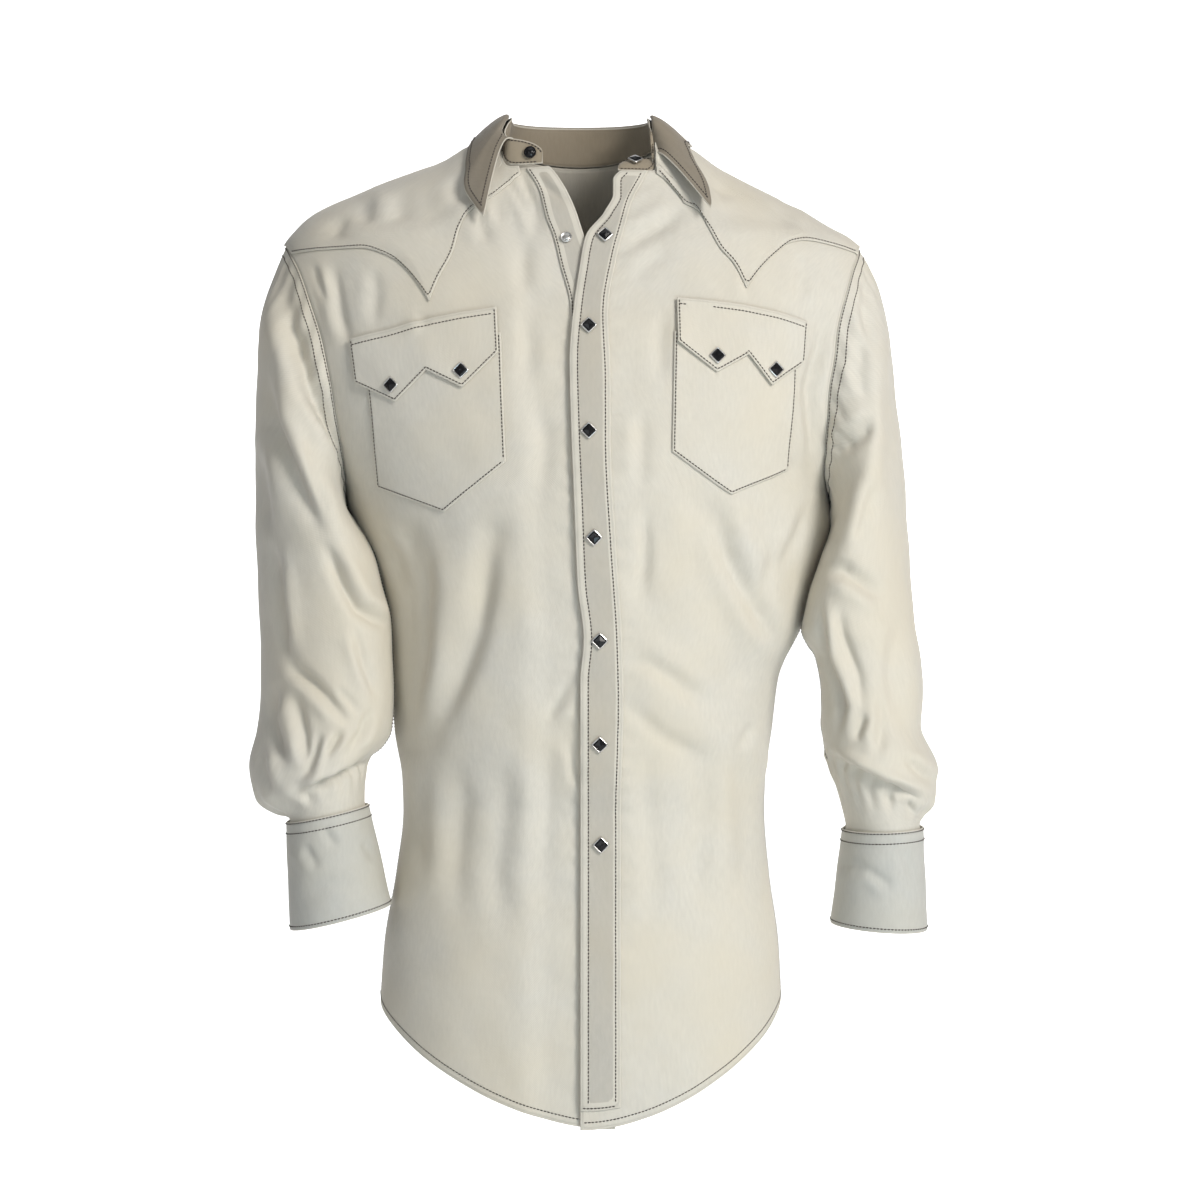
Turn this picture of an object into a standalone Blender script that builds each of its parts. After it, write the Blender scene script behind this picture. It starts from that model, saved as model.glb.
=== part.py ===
"""Western snap shirt, worn and hollow: pointed yokes, flap pockets, long sleeves and snaps.

The tables are in millimetres and degrees, and MM turns them into metres.  The origin is the
middle of the neck's base, +Z is up, the front looks along -Y and +X is the wearer's left.
A point on the body of the shirt is an angle round it and a height: 0 degrees is the front,
-90 the wearer's right side, +90 the left side, and 180 the back.
"""
import math
from collections import namedtuple

import bmesh
import bpy
import numpy as np
from mathutils import Matrix, Vector

MM = 0.001
WALL = 1.2                # cloth thickness
SEAM_GAP = 0.3            # clearance between pieces that are sewn edge to edge
LAY_GAP = 0.6             # clearance under a piece that lies on a panel
LAYER = WALL + LAY_GAP    # one more layer of cloth

SNAP_SIDE = 10.0          # square snap cap, set on its corner
SNAP_RIM_HEIGHT = 1.6
SNAP_STONE_HEIGHT = 1.8
SNAP_RIM = 1.2
STUD_RADIUS = 4.6
STUD_HEIGHT = 1.5
SNAP_CLEARANCE = 1.0

CLOTH_COLOUR = (0.68, 0.60, 0.46, 1.0)
COLLAR_COLOUR = (0.47, 0.40, 0.30, 1.0)
BAND_COLOUR = (0.60, 0.54, 0.43, 1.0)
STONE_COLOUR = (0.01, 0.01, 0.012, 1.0)
SILVER_COLOUR = (0.80, 0.80, 0.80, 1.0)

# Level sections of the body: half widths to each side, depths to front and back, the shift of
# the widest place along Y, and how square the section is (2 is an ellipse).
Section = namedtuple("Section", "height right left front back side_y square")
BODY = [
    Section(22, 46, 46, 55, 64, 0, 2.0),
    Section(14, 66, 66, 57, 68, 0, 2.0),
    Section(0, 102, 98, 60, 75, 0, 2.0),
    Section(-24, 168, 146, 68, 86, 0, 2.0),
    Section(-49, 225, 194, 77, 96, 0, 2.05),
    Section(-61, 238, 214, 82, 101, 0, 2.1),
    Section(-75, 245, 231, 87, 105, 0, 2.15),
    Section(-92, 251, 243, 93, 109, 0, 2.2),
    Section(-128, 257, 253, 103, 116, 0, 2.2),
    Section(-168, 244, 248, 113, 121, -2, 2.2),
    Section(-210, 225, 231, 119, 123, -5, 2.2),
    Section(-250, 205, 215, 123, 122, -8, 2.15),
    Section(-285, 187, 200, 124, 119, -10, 2.1),
    Section(-328, 171, 197, 122, 116, -13, 2.1),
    Section(-364, 160, 189, 120, 114, -14, 2.1),
    Section(-398, 156, 181, 118, 113, -12, 2.1),
    Section(-438, 156, 166, 116, 111, -8, 2.1),
    Section(-480, 154, 161, 112, 110, -4, 2.15),
    Section(-520, 148, 156, 106, 103, 0, 2.2),
    Section(-548, 147, 155, 101, 97, 0, 2.2),
    Section(-600, 153, 159, 101, 99, 0, 2.2),
    Section(-660, 163, 167, 106, 106, 0, 2.2),
    Section(-790, 170, 172, 112, 114, 0, 2.2),
]

# The neckline's height round the neck; the open front lies between its first and last rows.
# The stand's height is above it, and lean is how far the stand's top lies back of its foot.
NeckPoint = namedtuple("NeckPoint", "angle height stand lean")
NECKLINE = [
    NeckPoint(-350, -24, 14, 9),
    NeckPoint(-336, -24, 15, 7),
    NeckPoint(-329, -11, 15, 3),
    NeckPoint(-321, 0, 15, 1),
    NeckPoint(-311, 7, 15, 0),
    NeckPoint(-297, 12, 15, 0),
    NeckPoint(-270, 13, 17, 0),
    NeckPoint(-230, 10, 24, 0),
    NeckPoint(-180, 5, 32, 0),
    NeckPoint(-130, 10, 24, 0),
    NeckPoint(-90, 14, 16, 0),
    NeckPoint(-62, 12.5, 15, 0),
    NeckPoint(-48, 8.5, 15, 0),
    NeckPoint(-37, 0, 17, 0),
    NeckPoint(-28, -11, 19, 1),
    NeckPoint(-20, -19, 22, 2),
    NeckPoint(-9, -18, 20, 3),
]
NECK_END_LEFT = 13.0       # angle of the left front's neck corner
NECK_END_RIGHT = -9.5

# The set-in line of the sleeves, an upright oval on the side of the body.
ARMHOLE_TOP = {-1: -76.0, 1: -78.0}
ARMHOLE_BOTTOM = -283.0
ARMHOLE_Y = -4.0
ARMHOLE_DEPTH = 64.0

# The hem is a shirt tail: low at the middle of the front and back, high at the side seams.
HEM_MIDDLE = -790.0
HEM_SIDE = -704.0

# Rows of the body panels: heights at the front edge and at the side.
SHOULDER_STEPS = 4
ARMHOLE_STEPS = 10
FRONT_SHOULDER_HEIGHTS = [-24, -35, -46, -58, -70]
BELOW_ARMHOLE = [-318, -352, -386, -420, -456, -496, -532, -566, -640]
FRONT_COLUMNS = 15
BACK_COLUMNS = 25
YOKE_ROWS = 8
BACK_YOKE_ROWS = 11
BAND_COLUMNS = 3
BAND_START = 0.1           # the row where a band starts, below the collar stand
BAND_END = 0.1             # and how much of the last row it leaves free above the hem
YOKE_LIFT = 0.9            # extra clearance under a yoke, on the curved shoulder

# Front edges, as distances from the middle at each height.
EdgePoint = namedtuple("EdgePoint", "height x")
LEFT_EDGE = [
    EdgePoint(-24, 34), EdgePoint(-33, 28), EdgePoint(-46, 28), EdgePoint(-62, 20.5),
    EdgePoint(-82, 6), EdgePoint(-110, 1), EdgePoint(-138, -3), EdgePoint(-184, -6.4),
    EdgePoint(-240, -5), EdgePoint(-294, -2.7), EdgePoint(-360, 0), EdgePoint(-403, 4.7),
    EdgePoint(-436, 2), EdgePoint(-541, 2), EdgePoint(-800, 2),
]
PLACKET_SEAM = [
    EdgePoint(-24, 57), EdgePoint(-32, 53), EdgePoint(-53, 43), EdgePoint(-72, 38),
    EdgePoint(-99, 31), EdgePoint(-146, 24), EdgePoint(-200, 26), EdgePoint(-247, 26),
    EdgePoint(-328, 30), EdgePoint(-408, 35), EdgePoint(-456, 36), EdgePoint(-541, 34),
    EdgePoint(-800, 34),
]
RIGHT_EDGE = [
    EdgePoint(-16, -26), EdgePoint(-29, -16), EdgePoint(-53, -3.7), EdgePoint(-82, 5.6),
    EdgePoint(-108, 15), EdgePoint(-140, 21), EdgePoint(-200, 23), EdgePoint(-300, 25),
    EdgePoint(-403, 32), EdgePoint(-541, 30), EdgePoint(-800, 30),
]
UNDER_SEAM = [
    EdgePoint(-20, -43), EdgePoint(-39, -32), EdgePoint(-66, -25), EdgePoint(-79, -20),
    EdgePoint(-104, -14), EdgePoint(-138, -6), EdgePoint(-200, -5), EdgePoint(-300, -3),
    EdgePoint(-403, 4), EdgePoint(-541, 2), EdgePoint(-800, 2),
]
UNDER_RAMP = 24.0          # width over which the right front sinks below the left one,
UNDER_MARGIN = 24.0        # and how far before its band it has sunk

# Outlines on the fronts, as points across the shirt and up it.
Point = namedtuple("Point", "x height")
YOKE_RIGHT = [
    [Point(-47, -25), Point(-55, -33), Point(-73, -50), Point(-84, -57), Point(-95, -72),
     Point(-101, -94), Point(-112, -116), Point(-119.4, -135)],
    [Point(-119.4, -135), Point(-126, -124), Point(-137, -108), Point(-153, -96),
     Point(-180, -88), Point(-224, -88)],
]
YOKE_LEFT = [
    [Point(63, -27), Point(68, -30), Point(76, -38), Point(83, -50), Point(98, -59),
     Point(105, -72), Point(114.5, -90), Point(125, -102), Point(136, -123)],
    [Point(136, -123), Point(143, -110), Point(154, -96), Point(171, -84), Point(190, -80),
     Point(226, -87)],
]
BACK_YOKE_SIDE = -132.0
BACK_YOKE_POINT = -216.0
YOKE_INSET = 0.010         # part of the panel's width by which a yoke keeps off the armhole

POCKET_RIGHT = [
    [Point(-170, -176), Point(-115, -168), Point(-60.5, -161)],
    [Point(-160.6, -281), Point(-105.8, -302.5), Point(-56, -263.5)],
]
POCKET_LEFT = [
    [Point(76, -160), Point(125, -166), Point(175, -172)],
    [Point(74, -255.5), Point(120.4, -288.5), Point(169.8, -267.5)],
]
FLAP_RIGHT = [
    [Point(-182.4, -163), Point(-151, -157), Point(-121, -150), Point(-92, -145),
     Point(-64, -141)],
    [Point(-176.6, -198), Point(-143.7, -214.7), Point(-118.7, -190.5), Point(-90, -205),
     Point(-62, -177)],
]
FLAP_LEFT = [
    [Point(78.2, -133), Point(105, -135), Point(131, -137.5), Point(158, -142.5),
     Point(184, -149)],
    [Point(78.4, -169), Point(109.4, -192.4), Point(134.4, -178), Point(153, -201.5),
     Point(179.6, -182)],
]

# Snaps down the placket, on the flaps and the round stud of the open one.
FRONT_SNAPS = [
    Point(21.6, -81.5), Point(8.7, -156.3), Point(8.8, -239.7), Point(12.9, -323),
    Point(17.2, -404), Point(17.2, -485.5), Point(18.2, -566),
]
FLAP_SNAPS_RIGHT = [Point(-146.8, -201.4), Point(-91.3, -191.6)]
FLAP_SNAPS_LEFT = [Point(109.5, -179.6), Point(156, -188.9)]
FRONT_STUD = Point(-9.5, -82.3)
COLLAR_SNAP_ANGLES = (-341.0, -15.0)
COLLAR_STUD_RADIUS = 5.0
COLLAR_SNAP_CLEARANCE = 1.5   # more than the others, on the turned ends of the stand

# Sleeve sections from the armhole to the cuff: the inner and outer ends, and half the depth.
Ring = namedtuple("Ring", "in_x in_y in_z out_x out_y out_z depth")
SLEEVE_RIGHT = [
    Ring(187, -4, -283, 245, -4, -76, 64),
    Ring(190, -9, -290, 255, -3, -104, 67),
    Ring(189, -18, -298, 264, -1, -136, 69),
    Ring(184, -30, -307, 269, 0, -172, 69),
    Ring(176, -40, -319, 271, 0, -212, 68),
    Ring(168, -46, -336, 271.5, 0, -254, 66),
    Ring(161, -48, -360, 271, -2, -298, 63),
    Ring(154, -48, -388, 268.5, -6, -345, 61),
    Ring(152, -47, -420, 266, -10, -392, 60),
    Ring(151, -46, -452, 264, -16, -440, 59),
    Ring(153, -46, -478, 266, -22, -478, 58),
    Ring(161, -46, -493, 272, -28, -508, 58),
    Ring(171, -46, -501, 265, -33, -536, 54),
    Ring(174, -46, -508, 247, -38, -547, 43),
]
SLEEVE_LEFT = [
    Ring(200, -4, -283, 232, -4, -78, 64),
    Ring(204, -9, -291, 247, -3, -106, 66),
    Ring(206, -18, -299, 257, -1, -138, 68),
    Ring(208, -28, -309, 263, 0, -173, 68),
    Ring(205, -38, -321, 268, 0, -213, 67),
    Ring(198, -44, -338, 272, 0, -254, 65),
    Ring(189, -47, -364, 274, -2, -298, 62),
    Ring(182, -48, -396, 277, -8, -350, 60),
    Ring(195, -46, -420, 280, -12, -396, 56),
    Ring(199, -45, -450, 284, -18, -440, 55),
    Ring(199, -45, -474, 282, -24, -474, 56),
    Ring(200, -45, -488, 295, -29, -508, 58),
    Ring(202, -46, -498, 293, -34, -538, 54),
    Ring(206, -46, -508, 283, -38, -550, 43),
]
SLEEVE_COLUMNS = 2 * ARMHOLE_STEPS
SLEEVE_BLEND_RINGS = 3.0   # rings over which the set-in line turns into the sections
SLEEVE_ROW_STOPS = [0, 0.5, 1, 1.6, 2.3, 3, 4, 5, 6, 7, 8, 9, 9.6, 10.2, 10.7, 11.2, 11.6,
                    12, 12.35, 12.7, 13]

# Cuffs: the same sections at the top and bottom edge.
CUFF_RIGHT = [Ring(172, -45, -539, 239, -45, -553, 41), Ring(153, -45, -621, 236, -45, -641, 42)]
CUFF_LEFT = [Ring(216, -45, -559, 282, -45, -557, 41), Ring(206, -45, -636, 285, -45, -641, 42)]
CUFF_COLUMNS = 30
CUFF_ROWS = 4
CUFF_LAP_START = 250.0     # angle where the lapped end starts, behind the wrist
CUFF_LAP = 34.0
CUFF_TUCK = 5.0            # length of sleeve held inside the cuff
CUFF_INSET = 2.8           # how far inside the cuff's outer face it lies
CUFF_SNAP_ROWS = 7         # the cuff's snaps sit on every second of these
SLIT_TURNS = (236.0, 260.0)  # the band over the sleeve's slit, behind the wrist
SLIT_STOPS = (8.0, 11.6)
SLIT_LIFT = 0.7

# The collar's fall: where it leaves the stand, and where its edge lies on the shoulders.
FallPoint = namedtuple("FallPoint", "stand_angle angle height lift roll")
COLLAR_FALL = [
    FallPoint(-20, -19, -64, 12, 5),
    FallPoint(-26, -22, -51, 9, 5),
    FallPoint(-33, -31, -27, 7, 5),
    FallPoint(-45, -45, -9, 6, 6),
    FallPoint(-62, -68, 3, 5.5, 6),
    FallPoint(-90, -90, 5, 5.5, 7),
    FallPoint(-130, -138, -6, 6.5, 7),
    FallPoint(-180, -180, -18, 6.5, 6),
    FallPoint(-230, -222, -6, 7, 7),
    FallPoint(-270, -270, 3, 5.5, 7),
    FallPoint(-292, -284, 1, 5.5, 6),
    FallPoint(-307, -300, -6, 6, 6),
    FallPoint(-320, -316, -25, 6.5, 5),
    FallPoint(-329, -327, -48, 9, 5),
    FallPoint(-336, -330, -58, 13, 5),
]
FALL_COLUMNS = 31
FALL_ROWS = 6
STAND_COLUMNS = 29
STAND_ROWS = 4
STAND_INSET = 1.6          # the stand's foot, inside the cut edge of the neck
STAND_LEAN = 0.88          # the stand's top against its foot, round the neck
STAND_ROUND = 7.0          # degrees over which the stand's ends are rounded
STAND_END = 0.45
STAND_END_STEPS = (0.0, 0.8, 2.4, 5.0, 8.0)

# Broad folds: soft troughs (depth over 0) and ridges (under 0) from one point to another.
Fold = namedtuple("Fold", "x0 height0 x1 height1 width depth")
FRONT_FOLDS = [
    Fold(-68, -322, -122, -486, 13, 5),
    Fold(-136, -324, -142, -492, 12, 5),
    Fold(60, -312, 52, -366, 11, 3),
    Fold(124, -300, 168, -408, 14, -4),
    Fold(100, -300, 128, -428, 16, 3.5),
    Fold(58, -436, 146, -506, 14, -4),
    Fold(194, -150, 178, -262, 14, 4),
]


def smooth(table_x, table_y, x):
    """Monotone cubic through the table's points, so a curve never swings past them."""
    order = np.argsort(table_x)
    xs = np.asarray(table_x, float)[order]
    ys = np.asarray(table_y, float)[order]
    step = np.diff(xs)
    slope = np.diff(ys) / step
    tangent = np.zeros_like(ys)
    tangent[0] = slope[0]
    tangent[-1] = slope[-1]
    before = slope[:-1]
    after = slope[1:]
    weight_before = step[:-1] + 2 * step[1:]
    weight_after = 2 * step[:-1] + step[1:]
    same_way = before * after > 0
    total = weight_before + weight_after
    safe_before = np.where(same_way, before, 1.0)
    safe_after = np.where(same_way, after, 1.0)
    mean = total / (weight_before / safe_before + weight_after / safe_after)
    tangent[1:-1] = np.where(same_way, mean, 0.0)
    x = np.clip(np.asarray(x, float), xs[0], xs[-1])
    i = np.clip(np.searchsorted(xs, x) - 1, 0, len(xs) - 2)
    t = (x - xs[i]) / step[i]
    rise = t * t * (3 - 2 * t)
    start = t * (1 - t) ** 2 * step[i] * tangent[i]
    end = -t * t * (1 - t) * step[i] * tangent[i + 1]
    return ys[i] * (1 - rise) + ys[i + 1] * rise + start + end


def ease(x):
    """0 below 0, 1 above 1, and a soft S between."""
    x = np.clip(x, 0.0, 1.0)
    return x * x * (3 - 2 * x)


def column(table, name, position, key):
    """One column of a table, read at a position of its key column."""
    keys = [getattr(row, key) for row in table]
    values = [getattr(row, name) for row in table]
    return smooth(keys, values, position)


def body_column(name, height):
    return column(BODY, name, height, "height")


def body_point(angle, height):
    """A point on the plain body: a superellipse section at that height."""
    turn = np.radians(angle)
    sine = np.sin(turn)
    cosine = np.cos(turn)
    power = body_column("square", height)
    reach = (np.abs(sine) ** power + np.abs(cosine) ** power) ** (-1 / power)
    width = np.where(sine < 0, body_column("right", height), body_column("left", height))
    side_y = body_column("side_y", height)
    front = body_column("front", height) + side_y
    back = body_column("back", height) - side_y
    depth = np.where(cosine > 0, front, back)
    return np.stack([width * reach * sine, side_y - depth * reach * cosine,
                     height + 0 * turn], axis=-1)


def body_normal(angle, height):
    """The outward normal, from small steps round and up the body."""
    small = 0.05
    across = body_point(angle + small, height) - body_point(angle - small, height)
    up = body_point(angle, height + small) - body_point(angle, height - small)
    normal = np.cross(across, up)
    return normal / np.linalg.norm(normal, axis=-1, keepdims=True)


def angle_at_x(x, height):
    """The angle on the front half where the section is x from the middle."""
    power = body_column("square", height)
    width = np.where(np.asarray(x) < 0, body_column("right", height),
                     body_column("left", height))
    sine = np.clip(x / width, -1, 1)
    cosine = (1 - np.abs(sine) ** power) ** (1 / power)
    return np.degrees(np.arctan2(sine, cosine))


def angle_at_y(y, height, side):
    """The angle on one side (-1 right, 1 left) where the section is at y."""
    power = body_column("square", height)
    side_y = body_column("side_y", height)
    front = body_column("front", height) + side_y
    back = body_column("back", height) - side_y
    forward = side_y - np.asarray(y)
    cosine = np.where(forward > 0, forward / front, forward / back)
    sine = (1 - np.abs(cosine) ** power) ** (1 / power)
    return side * np.degrees(np.arctan2(sine, cosine))


def fold_relief(folds, x, height):
    """Height of the folds at a point: each is a soft trough along a line, fading at its ends."""
    total = 0.0 * x
    for fold in folds:
        run_x = fold.x1 - fold.x0
        run_z = fold.height1 - fold.height0
        length = math.hypot(run_x, run_z)
        along = ((x - fold.x0) * run_x + (height - fold.height0) * run_z) / length ** 2
        near = np.clip(along, 0.0, 1.0)
        away = np.hypot(x - fold.x0 - near * run_x, height - fold.height0 - near * run_z)
        total = total - fold.depth * np.exp(-(away / fold.width) ** 2)
    return total


def on_body(angle, height, out):
    """A point on the folded body, moved out along its normal."""
    point = body_point(angle, height)
    in_front = ease((np.cos(np.radians(angle)) - 0.1) / 0.2)
    relief = fold_relief(FRONT_FOLDS, point[..., 0], point[..., 2]) * in_front
    return point + body_normal(angle, height) * np.expand_dims(relief + out, -1)


def edge_angle(table, height):
    return angle_at_x(column(table, "x", height, "height"), height)


def neck_height(angle):
    """Height of the neckline at an angle from -350 at the left front, round the back."""
    return column(NECKLINE, "height", angle, "angle")


def armhole_point(turn, side, is_back):
    """Angle and height of the set-in line; turn runs from 90 at the top to -90 below."""
    middle = (ARMHOLE_TOP[side] + ARMHOLE_BOTTOM) / 2
    half = (ARMHOLE_TOP[side] - ARMHOLE_BOTTOM) / 2
    height = middle + half * np.sin(np.radians(turn))
    reach = ARMHOLE_DEPTH * np.cos(np.radians(turn))
    y = ARMHOLE_Y + (reach if is_back else -reach)
    y = np.where(np.abs(turn) > 89.9, body_column("side_y", height), y)
    return angle_at_y(y, height, side), height


def side_edge(side, is_back):
    """Angles and heights down a panel's outer edge: shoulder, armhole and side seam."""
    shoulder = np.linspace(neck_height(-90.0), ARMHOLE_TOP[side], SHOULDER_STEPS + 1)[:-1]
    turns = np.linspace(90, -90, ARMHOLE_STEPS + 1)
    arm_angle, arm_height = armhole_point(turns, side, is_back)
    below = np.array(BELOW_ARMHOLE + [HEM_SIDE], float)
    heights = np.concatenate([shoulder, arm_height, below])
    angles = np.concatenate([np.full(len(shoulder), 90.0 * side), arm_angle,
                             np.full(len(below), 90.0 * side)])
    gap = np.degrees(SEAM_GAP / 2 / body_column("front", heights))
    angles = angles + side * (gap if is_back else -gap)
    return angles, heights


def front_heights(neck_corner):
    """Heights down a front's inner edge, row for row with its outer edge."""
    shoulder = FRONT_SHOULDER_HEIGHTS[1:SHOULDER_STEPS]
    chest = np.linspace(FRONT_SHOULDER_HEIGHTS[-1], ARMHOLE_BOTTOM, ARMHOLE_STEPS + 1)
    below = BELOW_ARMHOLE + [HEM_MIDDLE]
    return np.concatenate([[neck_corner], shoulder, chest, below]).astype(float)


def fade_down(rows, count):
    """1 at the first row, falling softly to 0 after count rows."""
    return 1 - ease(np.arange(rows) / count)


def front_grid(side, columns):
    """Angles and heights of a front panel, between its cut edges."""
    edge_table = LEFT_EDGE if side > 0 else RIGHT_EDGE
    corner = NECK_END_LEFT if side > 0 else NECK_END_RIGHT
    inner_z = front_heights(float(neck_height(corner - 360 if side > 0 else corner)))
    inner_a = edge_angle(edge_table, inner_z)
    outer_a, outer_z = side_edge(side, is_back=False)
    s = np.linspace(0, 1, columns)
    angles = inner_a[:, None] * (1 - s) + outer_a[:, None] * s
    heights = inner_z[:, None] * (1 - s) + outer_z[:, None] * s
    round_neck = angles[0] - 360 if side > 0 else angles[0]
    neck_dip = neck_height(round_neck) - heights[0]
    hem_dip = (1 - s) ** 2 * (1 + 2 * s) * (HEM_MIDDLE - HEM_SIDE) + HEM_SIDE - heights[-1]
    heights = heights + neck_dip * fade_down(len(heights), SHOULDER_STEPS + 1)[:, None]
    heights = heights + hem_dip * fade_down(len(heights), 4)[::-1][:, None]
    return angles, heights


def right_front_sink(angle, height):
    """How far the right front lies below the left one, with its band between them."""
    x = body_point(angle, height)[..., 0]
    seam = column(UNDER_SEAM, "x", height, "height")
    return 2 * LAYER * ease((x - seam + UNDER_MARGIN + UNDER_RAMP) / UNDER_RAMP)


def back_grid(columns):
    """Angles and heights of the back, from the left side round to the right."""
    left_a, left_z = side_edge(1, is_back=True)
    right_a, right_z = side_edge(-1, is_back=True)
    right_a = np.where(right_a < 0, right_a + 360, right_a)
    s = np.linspace(0, 1, columns)
    angles = left_a[:, None] * (1 - s) + right_a[:, None] * s
    heights = left_z[:, None] * (1 - s) + right_z[:, None] * s
    neck_dip = neck_height(angles[0] - 360) - heights[0]
    hem_dip = (HEM_MIDDLE - HEM_SIDE) * np.sin(np.pi * s) ** 2 + HEM_SIDE - heights[-1]
    heights = heights + neck_dip * fade_down(len(heights), SHOULDER_STEPS + 1)[:, None]
    heights = heights + hem_dip * fade_down(len(heights), 5)[::-1][:, None]
    return angles, heights


def make_material(name, colour, roughness, metallic=0.0):
    material = bpy.data.materials.new(name)
    material.use_nodes = True
    shader = material.node_tree.nodes["Principled BSDF"]
    shader.inputs["Base Color"].default_value = colour
    shader.inputs["Roughness"].default_value = roughness
    shader.inputs["Metallic"].default_value = metallic
    return material


def add_object(name, mesh, material):
    mesh.materials.append(material)
    piece = bpy.data.objects.new(name, mesh)
    bpy.data.collections["western_snap_shirt"].objects.link(piece)
    return piece


def wall_faces(rows, columns, closed):
    """Triangles of a wall between two grids: outside, inside and the rims round the edges."""
    count = rows * columns
    span = columns if closed else columns - 1
    quads = []
    for r in range(rows - 1):
        for c in range(span):
            a = r * columns + c
            b = r * columns + (c + 1) % columns
            quads.append((a, b, b + columns, a + columns))
            quads.append((count + a, count + a + columns, count + b + columns, count + b))
    for c in range(span):
        a = c
        b = (c + 1) % columns
        quads.append((b, a, count + a, count + b))
        a += count - columns
        b += count - columns
        quads.append((a, b, count + b, count + a))
    if not closed:
        for r in range(rows - 1):
            a = r * columns
            quads.append((a, a + columns, count + a + columns, count + a))
            a += columns - 1
            quads.append((a + columns, a, count + a, count + a + columns))
    return [face for a, b, c, d in quads for face in ((a, b, c), (a, c, d))]


def add_wall(name, outer, inner, material, closed=False):
    """A cloth wall: two grids of points joined into one closed solid."""
    rows, columns = outer.shape[:2]
    points = np.concatenate([outer.reshape(-1, 3), inner.reshape(-1, 3)]) * MM
    mesh = bpy.data.meshes.new(name)
    mesh.from_pydata([tuple(p) for p in points], [], wall_faces(rows, columns, closed))
    model = bmesh.new()
    model.from_mesh(mesh)
    bmesh.ops.recalc_face_normals(model, faces=model.faces)
    model.to_mesh(mesh)
    model.free()
    mesh.shade_smooth()
    return add_object(name, mesh, material)


def add_panel(name, angles, heights, out, material):
    """A piece of cloth on the body: its outer face lies out from the folded body."""
    outer = on_body(angles, heights, out)
    inner = on_body(angles, heights, out - WALL)
    return add_wall(name, outer, inner, material)


def grid_normals(grid, closed):
    """Normals of a grid of points, from its own rows and columns."""
    down = np.gradient(grid, axis=0)
    if closed:
        across = (np.roll(grid, -1, axis=1) - np.roll(grid, 1, axis=1)) / 2
    else:
        across = np.gradient(grid, axis=1)
    normal = np.cross(down, across)
    return normal / np.linalg.norm(normal, axis=-1, keepdims=True)


def read_panel(grid, rows_at, across):
    """Angles and heights of a panel at fractions of its rows (0, 1, 2...) and width (0 to 1)."""
    rows, columns = grid[0].shape
    row = np.clip(rows_at, 0, rows - 1.001)
    col = np.clip(across, 0, 1) * (columns - 1.001)
    r = row.astype(int)
    c = col.astype(int)
    down = row - r
    over = col - c
    values = []
    for field in grid:
        above = field[r, c] * (1 - over) + field[r, c + 1] * over
        below = field[r + 1, c] * (1 - over) + field[r + 1, c + 1] * over
        values.append(above * (1 - down) + below * down)
    return values


def find_on_panel(grid, side, angle, height):
    """The row and the part of the width where a panel passes an angle and a height."""
    rows, columns = grid[0].shape
    widths = np.linspace(0, 1, columns)
    low = 0.0
    high = rows - 1.01
    for _ in range(24):
        middle = (low + high) / 2
        row_a, row_z = read_panel(grid, np.full(columns, middle), widths)
        if np.interp(side * angle, side * row_a, row_z) > height:
            low = middle
        else:
            high = middle
    return low, float(np.interp(side * angle, side * row_a, widths))


def trace_on_panel(grid, side, runs):
    """A line of curved runs, as rows and widths of the panel; also the width of its corner."""
    places = []
    for points in runs:
        at = np.linspace(0, len(points) - 1, 3 * len(points))
        order = np.arange(len(points))
        x = smooth(order, [p.x for p in points], at)
        height = smooth(order, [p.height for p in points], at)
        angle = angle_at_x(x, height)
        places.append([find_on_panel(grid, side, a, z) for a, z in zip(angle, height)])
    corner = places[0][-1][1]
    line = np.array(places[0] + places[1][1:])
    return line[:, 0], line[:, 1], corner


def straight(points, steps):
    """Points resampled along straight lines, with steps between each pair."""
    pairs = np.array(points, float)
    parts = [pairs[:1]]
    for start, end in zip(pairs[:-1], pairs[1:]):
        t = np.linspace(0, 1, steps + 1)[1:, None]
        parts.append(start * (1 - t) + end * t)
    return np.concatenate(parts)


def between(upper, lower, rows):
    """Rows of points from one edge to another."""
    t = np.linspace(0, 1, rows)[:, None, None]
    return upper[None] * (1 - t) + lower[None] * t


def add_patch(name, top, bottom, steps, rows, layers, material):
    """A piece laid on a front: straight edges between its corners, on a number of layers."""
    grid = between(straight(top, steps), straight(bottom, steps), rows)
    angles = angle_at_x(grid[..., 0], grid[..., 1])
    return add_panel(name, angles, grid[..., 1], layers * LAYER, material)


def yoke_rows(lower, count):
    """Rows of a yoke down to its lower edge: the panel's own on the shoulder, then even ones."""
    even = np.linspace(0, 1, count)[:, None] * lower
    shoulder = np.arange(SHOULDER_STEPS + 1)[:, None] + 0 * lower
    rest = np.linspace(0, 1, count - SHOULDER_STEPS)[1:, None] * (lower - SHOULDER_STEPS)
    matched = np.concatenate([shoulder, SHOULDER_STEPS + rest])
    return np.where(lower > SHOULDER_STEPS + 0.2, matched, even)


def add_front_yoke(name, grid, side, runs, sink, material):
    """A front yoke: the front's own columns, from the neckline down to the yoke's line."""
    line_rows, line_widths, corner = trace_on_panel(grid, side, runs)
    start = line_widths[0]
    columns = np.linspace(0, 1, grid[0].shape[1])
    columns = np.unique(np.concatenate([[start, corner], columns[columns > start]]))
    columns = columns[np.concatenate([[True], np.diff(columns) > 0.012])]
    rows = yoke_rows(np.interp(columns, line_widths, line_rows), YOKE_ROWS)
    across = columns * (1 - YOKE_INSET * ease(rows - SHOULDER_STEPS + 0.8))
    angles, heights = read_panel(grid, rows, across)
    out = LAYER + YOKE_LIFT - sink(angles, heights)
    return add_panel(name, angles, heights, out, material)


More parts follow.
